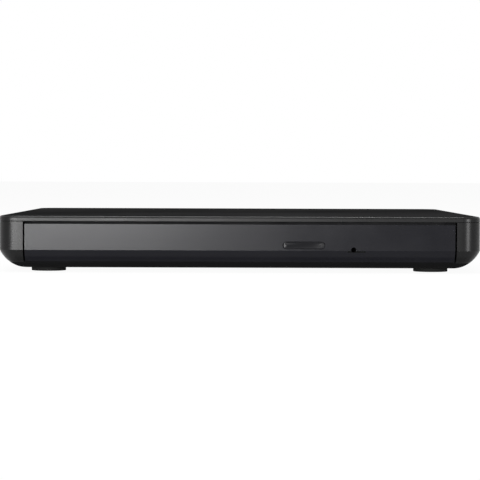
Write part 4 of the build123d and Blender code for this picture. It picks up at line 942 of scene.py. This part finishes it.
ribbon_y = line_y[:, None] + through * normal[:, :1]
ribbon_z = line_z[:, None] + through * normal[:, 1:]
ribbon = np.stack(np.broadcast_arrays(across[None, :], ribbon_y, ribbon_z), axis=-1)
ribbon_faces = tube_faces(len(line_y), 4)
film = finishes["cable_film"]
flat_cable = add_piece("flat_cable", ribbon, ribbon_faces, "enclosure", film, 40, ["flex_cable"])
flat_cable.parent = None
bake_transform(flat_cable, "enclosure", "tray_unit", (0, 0, lower_z), (0, 0, upper_z))
print("cable folds over", round(2 * fold_radius / mm, 2), "mm")

# %% [markdown]
# ## Springs
# A coil spring is a round wire carried along a helix. With the turn t, its middle line is
# c(t) = start + axis t + R (cos t, sin t), and each ring of the wire lies in the plane of the
# radius and the axis. The spring of the ejector is pressed between the case and its plunger, so
# its points turn from one body to the other along its length.

# %% Coils
def coil(start, end, radius, wire, turns, steps=24):
    """Points and faces of a round wire wound about the line from start to end."""
    ring_points = 10
    axis = (end - start) / np.linalg.norm(end - start)
    first = np.cross(axis, [0.0, 0.0, 1.0] if abs(axis[2]) < 0.9 else [1.0, 0.0, 0.0])
    first /= np.linalg.norm(first)
    second = np.cross(axis, first)
    t = np.linspace(0, 1, int(turns * steps) + 1)
    spin = 2 * math.pi * turns * t
    out = np.cos(spin)[:, None] * first + np.sin(spin)[:, None] * second
    middle = start + t[:, None] * (end - start) + radius * out
    angle = np.linspace(0, 2 * math.pi, ring_points, endpoint=False)[:, None]
    points = middle[:, None] + wire * (np.cos(angle) * out[:, None] + np.sin(angle) * axis)
    return points, tube_faces(len(t), ring_points)


def body_of(name):
    """Body that a CAD node rides on."""
    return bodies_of(frame["nodes"][name])[0]


wire = 0.16 * mm
steel = finishes["bright_steel"]
for name, turns, direction in (("ejector_spring", 9, (0, 1, 0)), ("latch_spring", 4, (0, 0, 1))):
    low, high = (np.array(corner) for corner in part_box(name))
    middle = (low + high) / 2
    axis = np.array(direction, float)
    span = (high - low).dot(axis) / 2 - 1.2 * wire
    radius = (high[0] - low[0]) / 2 - wire
    start, end = middle + axis * span, middle - axis * span
    points, faces = coil(start, end, radius, wire, turns)
    piece = add_piece(name.replace("_", "_coil_"), points, faces, body_of(name), steel, 60, [name])
    if name == "ejector_spring":
        piece.parent = None
        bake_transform(piece, "enclosure", "plunger", start, end)
    print(name, "radius", round(radius / mm, 2), "mm,", turns, "turns")

# %% [markdown]
# ## The lead screw
# The lead screw is a bar between two smooth journals. With s along its axis, the radius of the
# threaded part falls and rises with cos(2 pi s / lead - angle), which makes one continuous
# groove. Cubing that wave keeps the groove narrow and the crest wide.

# %% Lead screw
journal = 0.6 * mm
crest = 0.6 * mm
groove_depth = 0.32 * mm
lead = 3 * mm
thread_start = 3.3 * mm
plain_end = 2 * mm
screw_low, screw_high = (np.array(corner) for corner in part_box("lead_screw"))
reach = journal / math.sqrt(2)
screw_z = (screw_low[2] + screw_high[2]) / 2
near_end = np.array([screw_high[0] - reach, screw_high[1] - reach, screw_z])
far_end = np.array([screw_low[0] + reach, screw_low[1] + reach, screw_z])
length = np.linalg.norm(far_end - near_end)
axis = (far_end - near_end) / length
side = np.cross(axis, [0, 0, 1])
thread_end = length - plain_end
threaded = np.linspace(thread_start, thread_end, 420)
s = np.concatenate([[0, 0, thread_start], threaded, [thread_end, length, length]])[:, None]
angle = np.linspace(0, 2 * math.pi, 32, endpoint=False)
wave = 0.5 - 0.5 * np.cos(2 * math.pi * s / lead - angle)
has_thread = np.zeros_like(s)
has_thread[3:-3] = 1
has_radius = np.ones_like(s)
has_radius[[0, -1]] = 0
thread_radius = (journal + has_thread * (crest - groove_depth * wave ** 3)) * has_radius
out = np.cos(angle)[:, None] * side + np.sin(angle)[:, None] * [0, 0, 1]
thread = near_end + s[:, :, None] * axis + thread_radius[..., None] * out
thread_faces = grid_faces(len(s), len(angle), around=True).reshape(-1, 4)
add_piece("threaded_screw", thread, thread_faces, body_of("lead_screw"), steel, 50, ["lead_screw"])
print("lead screw is", round(length / mm, 1), "mm long")

# %% [markdown]
# ## Camera
# The picture was taken with a long lens from about 60 cm in front of the drive and just above
# the table, which is why the top shows only as a sliver. The focal length comes from the width
# of the case in the picture, in pixels. The camera looks down a little, and is turned and
# tilted by a fraction of a degree, as a hand-set tripod is.

# %% Camera
picture = 480
focal_pixels = 2022
sensor = 36
look_down, turn_right, tilt = (math.radians(angle) for angle in (1.89, 0.24, 0.2))
camera_data = bpy.data.cameras.new("camera")
camera_data.sensor_width = sensor
camera_data.lens = sensor * focal_pixels / picture
camera_data.clip_start = 0.01
camera_data.clip_end = 50
camera = add_object("camera", camera_data)
bpy.context.scene.camera = camera
camera.location = (-2.5 * mm, -670 * mm, 29.6 * mm)
aim = Matrix.Rotation(-turn_right, 4, "Z") @ Matrix.Rotation(math.pi / 2 - look_down, 4, "X")
camera.rotation_euler = (aim @ Matrix.Rotation(tilt, 4, "Z")).to_euler()
print("lens", round(camera_data.lens, 1), "mm")

# %% [markdown]
# ## Floor
# The floor is a plain pale sheet. To the camera it is nearly all glow, so that it reads as
# white, and the rest of it is matte paper that keeps the object's soft shadow. Rays that come
# from gloss or glass see a smaller share of glow.

# %% Floor
glow_to_camera = 0.94
glow_in_gloss = 0.25
edge = 6


def background_rays(tree):
    """Masks of the rays from the camera, and of those that gloss or glass sends on."""
    rays = node(tree, "LightPath").outputs
    return rays["Is Camera Ray"], maths(tree, "MAXIMUM", rays["Is Glossy Ray"], rays["Is Transmission Ray"])


floor_corners = [(-edge, -edge, 0), (edge, -edge, 0), (edge, edge, 0), (-edge, edge, 0)]
floor_mesh = bpy.data.meshes.new("floor")
floor_mesh.from_pydata(floor_corners, [], [(0, 1, 2, 3)])
floor = add_object("floor", floor_mesh)
paper = bpy.data.materials.new("paper")
paper.use_nodes = True
tree = paper.node_tree
sheet = tree.nodes["Principled BSDF"]
sheet.inputs["Base Color"].default_value = (0.9, 0.9, 0.9, 1)
sheet.inputs["Roughness"].default_value = 0.9
sheet.inputs["Specular IOR Level"].default_value = 0.0
glow = node(tree, "Emission", None, {"Color": (1, 1, 1, 1), "Strength": 1.0})
from_camera, mirrored = background_rays(tree)
camera_share = times(tree, from_camera, glow_to_camera)
gloss_share = times(tree, mirrored, glow_in_gloss)
share = maths(tree, "MAXIMUM", camera_share, gloss_share)
both = node(tree, "MixShader", None, {0: share, 1: sheet.outputs[0], 2: glow.outputs[0]})
tree.links.new(both.outputs[0], tree.nodes["Material Output"].inputs["Surface"])
floor_mesh.materials.append(paper)
print("floor glows", glow_to_camera, "to the camera and", glow_in_gloss, "in gloss")

# %% [markdown]
# ## World and lamps
# The world is white for the camera and for reflections, and fainter as a light. Four soft boxes
# light the object. The key stands low at the front left, and its reflection gives the gloss
# that fades from left to right along the front. One further round lights the left corner, and a
# narrow strip on the right picks out the other corner. The last hangs straight above and fills
# the top.

# %% World and lamps
world_light = 0.35
world = bpy.data.worlds.new("studio")
bpy.context.scene.world = world
world.use_nodes = True
tree = world.node_tree
from_camera, mirrored = background_rays(tree)
seen = maths(tree, "MAXIMUM", from_camera, mirrored)
background = tree.nodes["Background"].inputs
tree.links.new(spread(tree, seen, 0, 1, world_light, 1.0), background["Strength"])
background["Color"].default_value = (1, 1, 1, 1)


def soft_box(name, place, aim, width, height, watts):
    """Rectangular lamp at a place, turned to face a point."""
    lamp = bpy.data.lights.new(name, "AREA")
    lamp.shape = "RECTANGLE"
    lamp.size = width
    lamp.size_y = height
    lamp.energy = watts
    box = add_object(name, lamp)
    box.location = place
    box.rotation_euler = (Vector(aim) - Vector(place)).to_track_quat("-Z", "Y").to_euler()
    print(name, "lamp:", watts, "W")


soft_box("key", (-0.42, -1.13, 0.065), (0, 0, 0.01), width=0.8, height=0.12, watts=16)
soft_box("side", (-0.88, -0.96, 0.08), (-0.05, -0.05, 0.01), width=0.3, height=0.12, watts=3)
soft_box("strip", (0.8, -0.885, 0.08), (0.05, -0.05, 0.01), width=0.25, height=0.12, watts=6)
soft_box("top", (-0.15, -0.115, 1.2), (-0.15, -0.115, 0), width=0.8, height=0.16, watts=12)
bpy.context.scene.view_settings.view_transform = "Standard"
